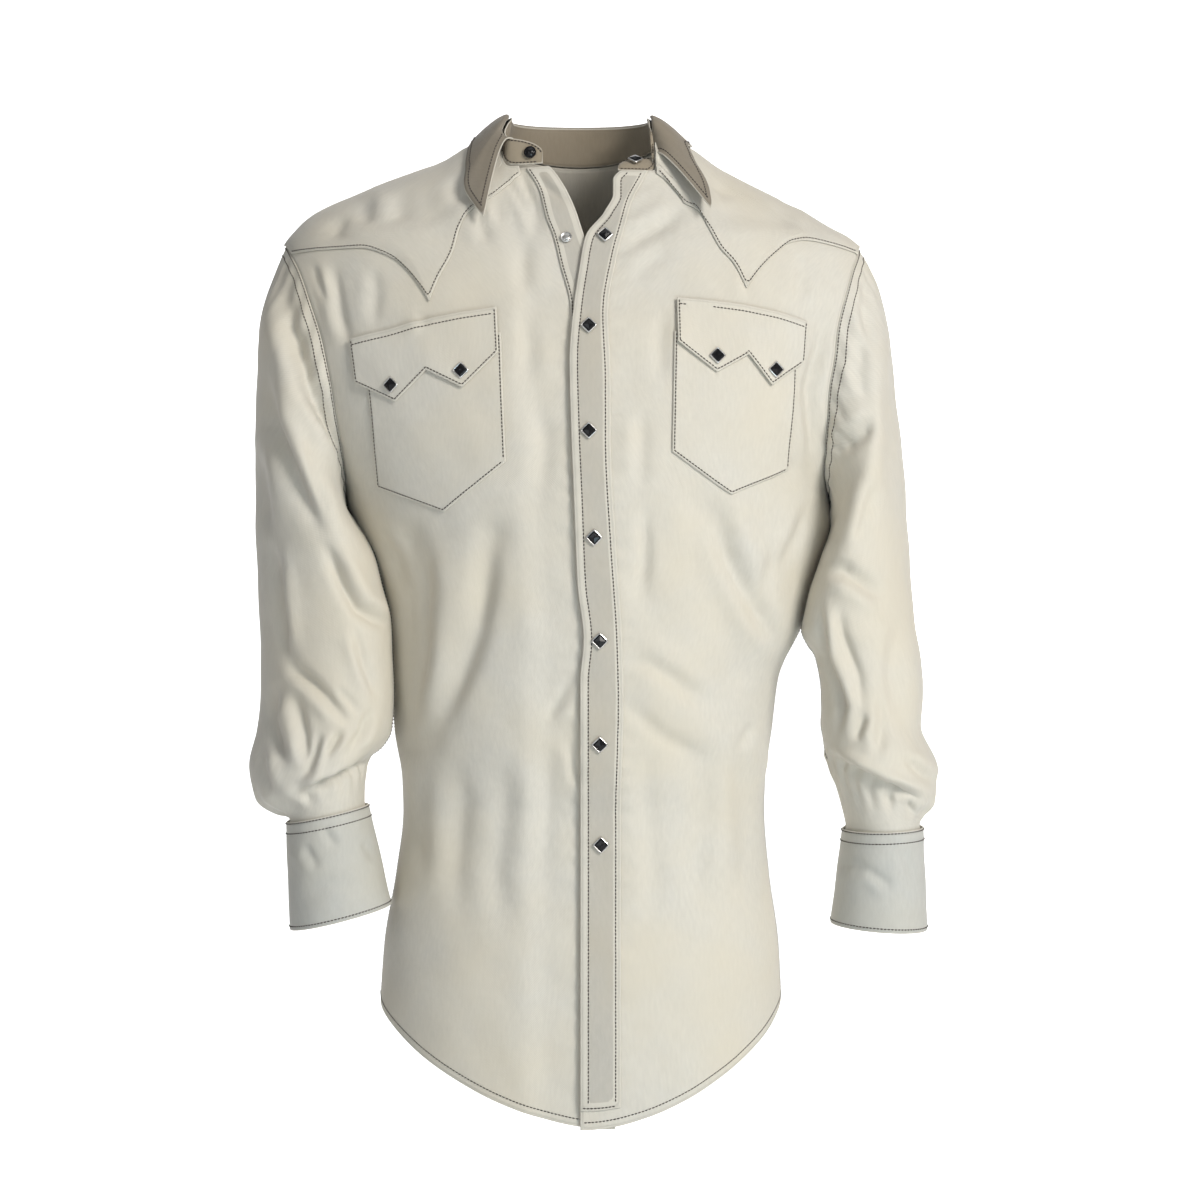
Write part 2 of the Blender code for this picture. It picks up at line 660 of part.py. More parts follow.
def add_back_yoke(grid, material):
    """The back yoke: the back's own columns, down to one soft point at the middle."""
    columns = np.linspace(0, 1, BACK_COLUMNS)
    near = np.abs(2 * columns - 1) ** 1.6
    line = BACK_YOKE_POINT * (1 - near) + BACK_YOKE_SIDE * near
    lower = []
    for c, width in enumerate(columns):
        rows = np.arange(grid[1].shape[0])
        lower.append(np.interp(-line[c], -grid[1][:, c], rows))
    rows = yoke_rows(np.array(lower), BACK_YOKE_ROWS)
    across = 0.5 + (columns - 0.5) * (1 - 2 * YOKE_INSET * ease(rows - SHOULDER_STEPS + 0.8))
    angles, heights = read_panel(grid, rows, across)
    return add_panel("yoke_back", angles, heights, LAYER + YOKE_LIFT, material)


def add_band(name, grid, side, seam_table, sink, material):
    """A band down a front: the front's own rows, from its edge to the band's seam."""
    last = grid[0].shape[0] - 1
    rows = np.concatenate([[BAND_START], np.arange(1, last), [last - BAND_END]])
    seam = []
    for row in rows:
        widths = np.linspace(0, 0.6, 40)
        angles, heights = read_panel(grid, np.full(40, row), widths)
        x = body_point(angles, heights)[:, 0]
        beyond = side * (x - column(seam_table, "x", heights, "height"))
        seam.append(np.interp(0.0, beyond, widths))
    t = np.linspace(0, 1, BAND_COLUMNS)
    across = np.array(seam)[:, None] * t
    angles, heights = read_panel(grid, rows[:, None] + 0 * across, across)
    return add_panel(name, angles, heights, LAYER - sink(angles, heights), material)


def ring_grid(table, stops, turns, side):
    """Sections of a sleeve or cuff at the given stops of its table."""
    order = np.arange(len(table))
    read = {name: smooth(order, [getattr(row, name) for row in table], stops)
            for name in Ring._fields}
    inner = np.stack([side * read["in_x"], read["in_y"], read["in_z"]], axis=-1)
    outer = np.stack([side * read["out_x"], read["out_y"], read["out_z"]], axis=-1)
    middle = (inner + outer) / 2
    half = (outer - inner) / 2
    forward = np.stack([0 * stops, -read["depth"], 0 * stops], axis=-1)
    cosine = np.cos(np.radians(turns))[None, :, None]
    sine = np.sin(np.radians(turns))[None, :, None]
    return middle[:, None] + half[:, None] * cosine + forward[:, None] * sine


def armhole_ring(side):
    """The set-in line as a closed ring of points, just clear of the panels' edges."""
    turns = np.linspace(90, -90, ARMHOLE_STEPS + 1)
    front_a, front_z = armhole_point(turns, side, is_back=False)
    back_a, back_z = armhole_point(turns, side, is_back=True)
    angles = np.concatenate([front_a, back_a[::-1][1:-1]])
    heights = np.concatenate([front_z, back_z[::-1][1:-1]])
    points = on_body(angles, heights, 0 * heights)
    middle = points.mean(axis=0)
    toward = middle - points
    toward[:, 0] = 0
    toward = toward / np.linalg.norm(toward, axis=-1, keepdims=True)
    return points + SEAM_GAP * (toward + np.array([side, 0, 0]))


def sleeve_grid(side, table, cuff, stops, turns):
    """A sleeve's outer face: sections along the arm, with its end held inside the cuff."""
    rings = list(table)
    for below in (-CUFF_TUCK / 2, CUFF_TUCK):
        part = below / (cuff[0].out_z - cuff[1].out_z)
        ring = Ring(*[a + (b - a) * part for a, b in zip(*cuff)])
        rings.append(ring._replace(in_x=ring.in_x + CUFF_INSET, out_x=ring.out_x - CUFF_INSET,
                                   depth=ring.depth - CUFF_INSET))
    return ring_grid(rings, stops, turns, side)


def add_sleeve(name, side, table, cuff, material):
    """A sleeve, whose first sections turn into the set-in line at the armhole."""
    turns = np.linspace(0, 360, SLEEVE_COLUMNS + 1)[:-1]
    stops = np.array(SLEEVE_ROW_STOPS + [13.5, 14.0, 15.0])
    grid = sleeve_grid(side, table, cuff, stops, turns)
    pull = armhole_ring(side) - grid[0]
    weight = 1 - ease(stops / SLEEVE_BLEND_RINGS)
    outer = grid + pull[None] * weight[:, None, None]
    normals = grid_normals(outer, closed=True) * -side
    return add_wall(name, outer, outer - normals * WALL, material, closed=True)


def add_sleeve_placket(name, side, table, cuff, material):
    """The band over the slit at the back of the sleeve, above the cuff's opening."""
    turns = np.linspace(SLIT_TURNS[0], SLIT_TURNS[1], 3)
    stops = np.array([stop for stop in SLEEVE_ROW_STOPS if SLIT_STOPS[0] <= stop <= SLIT_STOPS[1]])
    surface = sleeve_grid(side, table, cuff, stops, turns)
    normals = grid_normals(surface, closed=False) * -side
    outer = surface + normals * (LAYER + SLIT_LIFT)
    return add_wall(name, outer, outer - normals * WALL, material)


def cuff_grid(table, side, columns, rows):
    """A cuff's outer face: a strip round the wrist whose end laps over its start."""
    turns = np.linspace(CUFF_LAP_START, CUFF_LAP_START - 360 - CUFF_LAP, columns)
    stops = np.linspace(0, 1, rows)
    grid = ring_grid(table, stops, turns, side)
    middle = grid[:, :-1].mean(axis=1, keepdims=True)
    outward = grid - middle
    outward = outward / np.linalg.norm(outward, axis=-1, keepdims=True)
    lapped = ease((np.arange(columns) / (columns - 1) - 0.83) / 0.08)
    return grid + outward * (lapped * (LAYER + 0.3))[None, :, None]


def add_cuff(name, table, side, material):
    outer = cuff_grid(table, side, CUFF_COLUMNS, CUFF_ROWS)
    normals = grid_normals(outer, closed=False) * side
    return add_wall(name, outer, outer - normals * WALL, material)


def stand_edges(angles):
    """Foot and top of the collar stand at each angle round the neck."""
    heights = neck_height(angles) + SEAM_GAP
    foot = body_point(angles, heights - SEAM_GAP)
    inward = foot * np.array([-1.0, -1.0, 0.0])
    foot = foot + inward / np.linalg.norm(inward, axis=-1, keepdims=True) * STAND_INSET
    foot[:, 2] = heights
    first = NECKLINE[0].angle + 3.0
    last = NECKLINE[-1].angle
    from_end = np.minimum(angles - first, last - angles)
    rounded = np.sqrt(1 - (1 - np.clip(from_end / STAND_ROUND, 0, 1)) ** 2)
    rounded = STAND_END + (1 - STAND_END) * rounded
    rise = column(NECKLINE, "stand", angles, "angle") * rounded
    facing = np.cos(np.radians(angles))
    lean = np.where(facing > 0, 1 - (1 - STAND_LEAN) * (1 - facing), STAND_LEAN)
    top = foot * lean[:, None]
    top[:, 1] += column(NECKLINE, "lean", angles, "angle") * rounded
    top[:, 2] = heights + rise
    return foot, top


def stand_angles(columns):
    """Angles of the stand's columns, closer together where its ends are rounded."""
    first = NECKLINE[0].angle + 3.0
    last = NECKLINE[-1].angle
    ends = np.array(STAND_END_STEPS)
    middle = np.linspace(first + ends[-1], last - ends[-1], columns)
    return np.concatenate([first + ends[:-1], middle, last - ends[:-1][::-1]])


def add_stand(material):
    foot, top = stand_edges(stand_angles(STAND_COLUMNS))
    outer = between(foot, top, STAND_ROWS)
    normals = grid_normals(outer, closed=False)
    return add_wall("collar_stand", outer, outer + normals * WALL, material)


def fall_grid(columns, rows):
    """The collar's fall: a curve at each place from the stand's top over to its edge."""
    order = np.arange(len(COLLAR_FALL))
    at = np.linspace(0, len(COLLAR_FALL) - 1, columns)
    read = {name: smooth(order, [getattr(row, name) for row in COLLAR_FALL], at)
            for name in FallPoint._fields}
    start = stand_edges(read["stand_angle"])[1]
    outward = start * np.array([1.0, 1.0, 0.0])
    outward = outward / np.linalg.norm(outward, axis=-1, keepdims=True)
    up = np.array([0.0, 0.0, 1.0])
    start = start + outward * 2.4 + up * 1.6
    roll = read["roll"][:, None]
    bend = start + outward * roll + up * roll * 0.5
    end = body_point(read["angle"], read["height"])
    end = end + body_normal(read["angle"], read["height"]) * read["lift"][:, None]
    t = np.linspace(0, 1, rows)[:, None, None]
    return start * (1 - t) ** 2 + bend * 2 * t * (1 - t) + end * t ** 2


def add_fall(material):
    outer = fall_grid(FALL_COLUMNS, FALL_ROWS)
    normals = grid_normals(outer, closed=False)
    return add_wall("collar_fall", outer, outer + normals * WALL, material)


def snap_mesh(name):
    """A square snap cap: a low box on its corner with a rim and a faceted stone."""
    model = bmesh.new()
    bmesh.ops.create_cone(model, cap_ends=True, segments=4, radius1=SNAP_SIDE / math.sqrt(2),
                          radius2=SNAP_SIDE / math.sqrt(2), depth=SNAP_RIM_HEIGHT)
    bmesh.ops.translate(model, verts=model.verts, vec=(0, 0, SNAP_RIM_HEIGHT / 2))
    top = max(model.faces, key=lambda face: face.calc_center_median().z)
    bmesh.ops.inset_individual(model, faces=[top], thickness=SNAP_RIM)
    stone = bmesh.ops.poke(model, faces=[top])
    for vertex in stone["verts"]:
        vertex.co.z += SNAP_STONE_HEIGHT
    bmesh.ops.scale(model, vec=(MM, MM, MM), verts=model.verts)
    mesh = bpy.data.meshes.new(name)
    model.to_mesh(mesh)
    model.free()
    return mesh


def stud_mesh(name, radius, height):
    """A round stud: a low cylinder with a smaller post on it."""
    model = bmesh.new()
    bmesh.ops.create_cone(model, cap_ends=True, segments=14, radius1=radius, radius2=radius,
                          depth=height)
    bmesh.ops.translate(model, verts=model.verts, vec=(0, 0, height / 2))
    top = max(model.faces, key=lambda face: face.calc_center_median().z)
    bmesh.ops.inset_individual(model, faces=[top], thickness=radius * 0.45)
    bmesh.ops.translate(model, verts=top.verts, vec=(0, 0, height * 0.7))
    bmesh.ops.scale(model, vec=(MM, MM, MM), verts=model.verts)
    mesh = bpy.data.meshes.new(name)
    model.to_mesh(mesh)
    model.free()
    return mesh


def place(piece, point, normal, up=(0.0, 0.0, 1.0)):
    """Stands a fastener on a surface, its own +Z along the normal and +Y upwards."""
    out = Vector(normal).normalized()
    across = Vector(up).cross(out).normalized()
    above = out.cross(across)
    turn = Matrix((across, above, out)).transposed()
    piece.matrix_world = Matrix.Translation(Vector(point) * MM) @ turn.to_4x4()


def place_on_front(piece, spot, out):
    angle = angle_at_x(spot.x, spot.height)
    point = on_body(angle, np.float64(spot.height), out)
    place(piece, point, body_normal(angle, np.float64(spot.height)))


def add_cuff_snaps(side_name, table, side, materials):
    """Three snaps down the lapped end of a cuff."""
    grid = cuff_grid(table, side, CUFF_COLUMNS, CUFF_SNAP_ROWS)
    normals = grid_normals(grid, closed=False) * side
    column_at = CUFF_COLUMNS - 2
    for number, row in enumerate(range(1, CUFF_SNAP_ROWS, 2), start=1):
        name = f"snap_cuff_{side_name}_{number}"
        piece = add_object(name, snap_mesh(name), materials["stone"])
        normal = normals[row, column_at]
        place(piece, grid[row, column_at] + normal * SNAP_CLEARANCE, normal)


def add_collar_snaps(materials):
    """The collar's snap: a square cap on the stand's left end and a round part on its right."""
    cap = add_object("snap_collar", snap_mesh("snap_collar"), materials["stone"])
    stud = add_object("stud_collar", stud_mesh("stud_collar", COLLAR_STUD_RADIUS, STUD_HEIGHT),
                      materials["stone"])
    for piece, angle in ((cap, COLLAR_SNAP_ANGLES[0]), (stud, COLLAR_SNAP_ANGLES[1])):
        edges = stand_edges(angle + np.array([-1.0, 0.0, 1.0]))
        middle = (edges[0] + edges[1]) / 2
        normal = np.cross(middle[2] - middle[0], edges[1][1] - edges[0][1])
        normal = normal / np.linalg.norm(normal)
        place(piece, middle[1] + normal * COLLAR_SNAP_CLEARANCE, normal)


def no_sink(angles, heights):
    return 0 * angles


def add_body(materials):
    cloth = materials["cloth"]
    right = front_grid(-1, FRONT_COLUMNS)
    left = front_grid(1, FRONT_COLUMNS)
    back = back_grid(BACK_COLUMNS)
    add_panel("front_right", *right, -right_front_sink(*right), cloth)
    add_panel("front_left", *left, 0 * left[0], cloth)
    add_panel("back", *back, 0 * back[0], cloth)
    add_front_yoke("yoke_front_right", right, -1, YOKE_RIGHT, right_front_sink, cloth)
    add_front_yoke("yoke_front_left", left, 1, YOKE_LEFT, no_sink, cloth)
    add_back_yoke(back, cloth)
    add_band("placket", left, 1, PLACKET_SEAM, no_sink, materials["band"])
    add_band("under_placket", right, -1, UNDER_SEAM, right_front_sink, materials["band"])


def add_pockets(materials):
    cloth = materials["cloth"]
    add_patch("pocket_right", POCKET_RIGHT[0], POCKET_RIGHT[1], 4, 7, 1, cloth)
    add_patch("pocket_left", POCKET_LEFT[0], POCKET_LEFT[1], 4, 7, 1, cloth)
    add_patch("flap_right", FLAP_RIGHT[0], FLAP_RIGHT[1], 2, 4, 2, cloth)
    add_patch("flap_left", FLAP_LEFT[0], FLAP_LEFT[1], 2, 4, 2, cloth)


def add_arms(materials):
    cloth = materials["cloth"]
    add_sleeve("sleeve_right", -1, SLEEVE_RIGHT, CUFF_RIGHT, cloth)
    add_sleeve("sleeve_left", 1, SLEEVE_LEFT, CUFF_LEFT, cloth)
    add_cuff("cuff_right", CUFF_RIGHT, -1, cloth)
    add_cuff("cuff_left", CUFF_LEFT, 1, cloth)
    add_sleeve_placket("sleeve_placket_right", -1, SLEEVE_RIGHT, CUFF_RIGHT, cloth)
    add_sleeve_placket("sleeve_placket_left", 1, SLEEVE_LEFT, CUFF_LEFT, cloth)


def add_collar(materials):
    add_stand(materials["cloth"])
    add_fall(materials["collar"])


def add_front_snaps(materials):
    for number, spot in enumerate(FRONT_SNAPS, start=1):
        name = f"snap_front_{number}"
        piece = add_object(name, snap_mesh(name), materials["stone"])
        place_on_front(piece, spot, LAYER + SNAP_CLEARANCE)
    for side, spots in (("right", FLAP_SNAPS_RIGHT), ("left", FLAP_SNAPS_LEFT)):
        for number, spot in enumerate(spots, start=1):
            name = f"snap_flap_{side}_{number}"
            piece = add_object(name, snap_mesh(name), materials["stone"])
            place_on_front(piece, spot, 2 * LAYER + SNAP_CLEARANCE)
    stud = add_object("stud_front", stud_mesh("stud_front", STUD_RADIUS, STUD_HEIGHT),
                      materials["silver"])
    place_on_front(stud, FRONT_STUD, -LAYER + SNAP_CLEARANCE)


def main():
    for old in list(bpy.data.objects):
        bpy.data.objects.remove(old, do_unlink=True)
    parts = bpy.data.collections.new("western_snap_shirt")
    bpy.context.scene.collection.children.link(parts)
    materials = {
        "cloth": make_material("gabardine", CLOTH_COLOUR, 0.75),
        "band": make_material("gabardine_band", BAND_COLOUR, 0.75),
        "collar": make_material("gabardine_collar", COLLAR_COLOUR, 0.7),
        "stone": make_material("black_stone", STONE_COLOUR, 0.15),
        "silver": make_material("silver", SILVER_COLOUR, 0.25, 1.0),
    }
    add_body(materials)
    add_pockets(materials)
    add_collar(materials)
    add_arms(materials)
    add_front_snaps(materials)
    add_collar_snaps(materials)
    add_cuff_snaps("right", CUFF_RIGHT, -1, materials)
    add_cuff_snaps("left", CUFF_LEFT, 1, materials)


main()
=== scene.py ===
"""Western snap shirt, dressed: fine cloth, creases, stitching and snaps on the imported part.

Lengths in the tables are millimetres and degrees, and MM turns them into metres.  The tables of
the body, sleeves, cuffs and collar are the ones that the solids are made from, so each piece of
cloth lies on its own solid.  A point on the body of the shirt is an angle round it and a
height: 0 degrees is the front, -90 the wearer's right side, +90 the left side, 180 the back.
Creases are laid out on a front drawing of 1200 by 1200 units: U runs to the wearer's left and
V runs down.
"""
import math
from collections import namedtuple

import bpy
import numpy as np
from mathutils import Matrix, Vector


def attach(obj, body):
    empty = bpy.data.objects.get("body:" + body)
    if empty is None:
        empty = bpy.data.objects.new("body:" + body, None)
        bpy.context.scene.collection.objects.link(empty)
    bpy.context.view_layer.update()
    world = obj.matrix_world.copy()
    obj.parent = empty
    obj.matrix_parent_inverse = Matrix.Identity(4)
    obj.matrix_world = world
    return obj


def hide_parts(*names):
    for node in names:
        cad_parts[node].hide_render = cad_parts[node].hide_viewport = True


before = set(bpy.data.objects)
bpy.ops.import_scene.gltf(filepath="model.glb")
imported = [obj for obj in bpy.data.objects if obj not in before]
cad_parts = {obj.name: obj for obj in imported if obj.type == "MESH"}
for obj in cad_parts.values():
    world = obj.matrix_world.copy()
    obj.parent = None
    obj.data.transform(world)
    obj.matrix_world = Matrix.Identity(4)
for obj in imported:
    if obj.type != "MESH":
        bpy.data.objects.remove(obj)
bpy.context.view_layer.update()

bl_info = {
    "name": "Western Snap Shirt",
    "version": (1, 0, 0),
    "blender": (4, 5, 0),
    "location": "3D View > Sidebar > Shirt",
    "description": "Makes the cloth, stitching, snaps and stage of a western snap shirt",
    "category": "Object",
}

MM = 0.001
SEAM_GAP = 0.3            # clearance between pieces that are sewn edge to edge
LAY_GAP = 0.6             # clearance under a piece that lies on a panel
CLOTH_WALL = 1.2          # cloth thickness of the solids, which sets how the layers lie
LAYER = CLOTH_WALL + LAY_GAP

# Level sections of the body: half widths to each side, depths to front and back, the shift of
# the widest place along Y, and how square the section is (2 is an ellipse).
Section = namedtuple("Section", "height right left front back side_y square")
BODY = [
    Section(22, 46, 46, 55, 64, 0, 2.0),
    Section(14, 66, 66, 57, 68, 0, 2.0),
    Section(0, 102, 98, 60, 75, 0, 2.0),
    Section(-24, 168, 146, 68, 86, 0, 2.0),
    Section(-49, 225, 194, 77, 96, 0, 2.05),
    Section(-61, 238, 214, 82, 101, 0, 2.1),
    Section(-75, 245, 231, 87, 105, 0, 2.15),
    Section(-92, 251, 243, 93, 109, 0, 2.2),
    Section(-128, 257, 253, 103, 116, 0, 2.2),
    Section(-168, 244, 248, 113, 121, -2, 2.2),
    Section(-210, 225, 231, 119, 123, -5, 2.2),
    Section(-250, 205, 215, 123, 122, -8, 2.15),
    Section(-285, 187, 200, 124, 119, -10, 2.1),
    Section(-328, 171, 197, 122, 116, -13, 2.1),
    Section(-364, 160, 189, 120, 114, -14, 2.1),
    Section(-398, 156, 181, 118, 113, -12, 2.1),
    Section(-438, 156, 166, 116, 111, -8, 2.1),
    Section(-480, 154, 161, 112, 110, -4, 2.15),
    Section(-520, 148, 156, 106, 103, 0, 2.2),
    Section(-548, 147, 155, 101, 97, 0, 2.2),
    Section(-600, 153, 159, 101, 99, 0, 2.2),
    Section(-660, 163, 167, 106, 106, 0, 2.2),
    Section(-790, 170, 172, 112, 114, 0, 2.2),
]

# The neckline's height round the neck, the stand's height above it and how far it leans back.
NeckPoint = namedtuple("NeckPoint", "angle height stand lean")
NECKLINE = [
    NeckPoint(-350, -24, 14, 9),
    NeckPoint(-336, -24, 15, 7),
    NeckPoint(-329, -11, 15, 3),
    NeckPoint(-321, 0, 15, 1),
    NeckPoint(-311, 7, 15, 0),
    NeckPoint(-297, 12, 15, 0),
    NeckPoint(-270, 13, 17, 0),
    NeckPoint(-230, 10, 24, 0),
    NeckPoint(-180, 5, 32, 0),
    NeckPoint(-130, 10, 24, 0),
    NeckPoint(-90, 14, 16, 0),
    NeckPoint(-62, 12.5, 15, 0),
    NeckPoint(-48, 8.5, 15, 0),
    NeckPoint(-37, 0, 17, 0),
    NeckPoint(-28, -11, 19, 1),
    NeckPoint(-20, -19, 22, 2),
    NeckPoint(-9, -18, 20, 3),
]
NECK_END_LEFT = 13.0       # angle of the left front's neck corner
NECK_END_RIGHT = -9.5

# The set-in line of the sleeves, an upright oval on the side of the body.
ARMHOLE_TOP = {-1: -76.0, 1: -78.0}
ARMHOLE_BOTTOM = -283.0
ARMHOLE_Y = -4.0
ARMHOLE_DEPTH = 64.0

# The hem is a shirt tail: low at the middle of the front and back, high at the side seams.
HEM_MIDDLE = -790.0
HEM_SIDE = -704.0

# Rows of the body panels: 4 down the shoulder, 10 down the armhole and 10 to the hem.
SHOULDER_STEPS = 4
ARMHOLE_STEPS = 10
FRONT_SHOULDER_HEIGHTS = [-24, -35, -46, -58, -70]
BELOW_ARMHOLE = [-318, -352, -386, -420, -456, -496, -532, -566, -640]
LAST_ROW = SHOULDER_STEPS + ARMHOLE_STEPS + len(BELOW_ARMHOLE) + 1
BAND_START = 0.1           # the row where a band starts, below the collar stand
BAND_END = 0.1             # and how much of the last row it leaves free above the hem
YOKE_LIFT = 0.9            # extra clearance under a yoke, on the curved shoulder

# Front edges, as distances from the middle at each height.
EdgePoint = namedtuple("EdgePoint", "height x")
LEFT_EDGE = [
    EdgePoint(-24, 34), EdgePoint(-33, 28), EdgePoint(-46, 28), EdgePoint(-62, 20.5),
    EdgePoint(-82, 6), EdgePoint(-110, 1), EdgePoint(-138, -3), EdgePoint(-184, -6.4),
    EdgePoint(-240, -5), EdgePoint(-294, -2.7), EdgePoint(-360, 0), EdgePoint(-403, 4.7),
    EdgePoint(-436, 2), EdgePoint(-541, 2), EdgePoint(-800, 2),
]
PLACKET_SEAM = [
    EdgePoint(-24, 57), EdgePoint(-32, 53), EdgePoint(-53, 43), EdgePoint(-72, 38),
    EdgePoint(-99, 31), EdgePoint(-146, 24), EdgePoint(-200, 26), EdgePoint(-247, 26),
    EdgePoint(-328, 30), EdgePoint(-408, 35), EdgePoint(-456, 36), EdgePoint(-541, 34),
    EdgePoint(-800, 34),
]
RIGHT_EDGE = [
    EdgePoint(-16, -26), EdgePoint(-29, -16), EdgePoint(-53, -3.7), EdgePoint(-82, 5.6),
    EdgePoint(-108, 15), EdgePoint(-140, 21), EdgePoint(-200, 23), EdgePoint(-300, 25),
    EdgePoint(-403, 32), EdgePoint(-541, 30), EdgePoint(-800, 30),
]
UNDER_SEAM = [
    EdgePoint(-20, -43), EdgePoint(-39, -32), EdgePoint(-66, -25), EdgePoint(-79, -20),
    EdgePoint(-104, -14), EdgePoint(-138, -6), EdgePoint(-200, -5), EdgePoint(-300, -3),
    EdgePoint(-403, 4), EdgePoint(-541, 2), EdgePoint(-800, 2),
]
UNDER_RAMP = 24.0          # width over which the right front sinks below the left one,
UNDER_MARGIN = 24.0        # and how far before its band it has sunk

# Outlines on the fronts, as points across the shirt and up it.
Point = namedtuple("Point", "x height")
YOKE_RIGHT = [
    [Point(-47, -25), Point(-55, -33), Point(-73, -50), Point(-84, -57), Point(-95, -72),
     Point(-101, -94), Point(-112, -116), Point(-119.4, -135)],
    [Point(-119.4, -135), Point(-126, -124), Point(-137, -108), Point(-153, -96),
     Point(-180, -88), Point(-239, -87)],
]
YOKE_LEFT = [
    [Point(63, -27), Point(68, -30), Point(76, -38), Point(83, -50), Point(98, -59),
     Point(105, -72), Point(114.5, -90), Point(125, -102), Point(136, -123)],
    [Point(136, -123), Point(143, -110), Point(154, -96), Point(171, -84), Point(190, -80),
     Point(238, -88)],
]
BACK_YOKE_SIDE = -132.0
BACK_YOKE_POINT = -216.0
YOKE_INSET = 0.010         # part of the panel's width by which a yoke keeps off the armhole
COLUMN_STEP = 0.0010       # least part of the width from one of a yoke's columns to the next
COLUMN_FAN = 0.12          # part of the width by which the column at the point leans in

POCKET_RIGHT = [
    [Point(-170, -176), Point(-115, -168), Point(-60.5, -161)],
    [Point(-160.6, -281), Point(-105.8, -302.5), Point(-56, -263.5)],
]
POCKET_LEFT = [
    [Point(76, -160), Point(125, -166), Point(175, -172)],
    [Point(74, -255.5), Point(120.4, -288.5), Point(169.8, -267.5)],
]
FLAP_RIGHT = [
    [Point(-182.4, -163), Point(-151, -157), Point(-121, -150), Point(-92, -145),
     Point(-64, -141)],
    [Point(-176.6, -198), Point(-143.7, -214.7), Point(-118.7, -190.5), Point(-90, -205),
     Point(-62, -177)],
]
FLAP_LEFT = [
    [Point(78.2, -133), Point(105, -135), Point(131, -137.5), Point(158, -142.5),
     Point(184, -149)],
    [Point(78.4, -169), Point(109.4, -192.4), Point(134.4, -178), Point(153, -201.5),
     Point(179.6, -182)],
]

# Snaps down the placket, on the flaps and the round stud of the open one.
FRONT_SNAPS = [
    Point(21.6, -81.5), Point(8.7, -156.3), Point(8.8, -239.7), Point(12.9, -323),
    Point(17.2, -404), Point(17.2, -485.5), Point(18.2, -566),
]
FLAP_SNAPS_RIGHT = [Point(-146.8, -201.4), Point(-91.3, -191.6)]
FLAP_SNAPS_LEFT = [Point(109.5, -179.6), Point(156, -188.9)]
FRONT_STUD = Point(-9.5, -82.3)
COLLAR_CAP_ANGLE = -341.0
COLLAR_STUD_ANGLE = -15.0
COLLAR_SNAP_CLEARANCE = 1.5
SNAP_CLEARANCE = 1.0
FLAP_LIFT = 1.2            # how far a flap's lower edge stands off the pocket

# Sleeve sections from the armhole to the cuff: the inner and outer ends, and half the depth.
Ring = namedtuple("Ring", "in_x in_y in_z out_x out_y out_z depth")
SLEEVE_RIGHT = [
    Ring(187, -4, -283, 245, -4, -76, 64),
    Ring(190, -9, -290, 255, -3, -104, 67),
    Ring(189, -18, -298, 264, -1, -136, 69),
    Ring(184, -30, -307, 269, 0, -172, 69),
    Ring(176, -40, -319, 271, 0, -212, 68),
    Ring(168, -46, -336, 271.5, 0, -254, 66),
    Ring(161, -48, -360, 271, -2, -298, 63),
    Ring(154, -48, -388, 268.5, -6, -345, 61),
    Ring(152, -47, -420, 266, -10, -392, 60),
    Ring(151, -46, -452, 264, -16, -440, 59),
    Ring(153, -46, -478, 266, -22, -478, 58),
    Ring(161, -46, -493, 272, -28, -508, 58),
    Ring(171, -46, -501, 265, -33, -536, 54),
    Ring(174, -46, -508, 247, -38, -547, 43),
]
SLEEVE_LEFT = [
    Ring(200, -4, -283, 232, -4, -78, 64),
    Ring(204, -9, -291, 247, -3, -106, 66),
    Ring(206, -18, -299, 257, -1, -138, 68),
    Ring(208, -28, -309, 263, 0, -173, 68),
    Ring(205, -38, -321, 268, 0, -213, 67),
    Ring(198, -44, -338, 272, 0, -254, 65),
    Ring(189, -47, -364, 274, -2, -298, 62),
    Ring(182, -48, -396, 277, -8, -350, 60),
    Ring(195, -46, -420, 280, -12, -396, 56),
    Ring(199, -45, -450, 284, -18, -440, 55),
    Ring(199, -45, -474, 282, -24, -474, 56),
    Ring(200, -45, -488, 295, -29, -508, 58),
    Ring(202, -46, -498, 293, -34, -538, 54),
    Ring(206, -46, -508, 283, -38, -550, 43),
]
SLEEVE_BLEND_RINGS = 3.0   # rings over which the set-in line turns into the sections
# Two rows of the sleeve's outer face and two of its inner face that lie inside the body: how
# far beyond the set-in line and how far out.
SEAM_ALLOWANCE = [(5.0, -1.7), (-0.3, -1.7), (5.0, -2.9), (-1.4, -2.9)]
SLEEVE_END = 15.0          # the last section of a sleeve, inside the cuff
SLEEVE_CUFF = 13.0         # and the one where the cuff starts
SLEEVE_CREASE_DEPTH = 1.2  # how much deeper the sleeves' creases are than their table says
UNDERARM_COLUMN = 92       # the column of a sleeve's grid with the seam under the arm

# Cuffs: the same sections at the top and bottom edge.
CUFF_RIGHT = [Ring(172, -45, -539, 239, -45, -553, 41), Ring(153, -45, -621, 236, -45, -641, 42)]
CUFF_LEFT = [Ring(216, -45, -559, 282, -45, -557, 41), Ring(206, -45, -636, 285, -45, -641, 42)]
CUFF_LAP_START = 250.0     # angle where the lapped end starts, behind the wrist
CUFF_LAP = 34.0
CUFF_TUCK = 5.0            # length of sleeve held inside the cuff
CUFF_INSET = 2.8           # how far inside the cuff's outer face it lies
SLIT_TURNS = (236.0, 260.0)  # the band over the sleeve's slit, behind the wrist
SLIT_STOPS = (8.0, 11.6)
SLIT_LIFT = 0.7

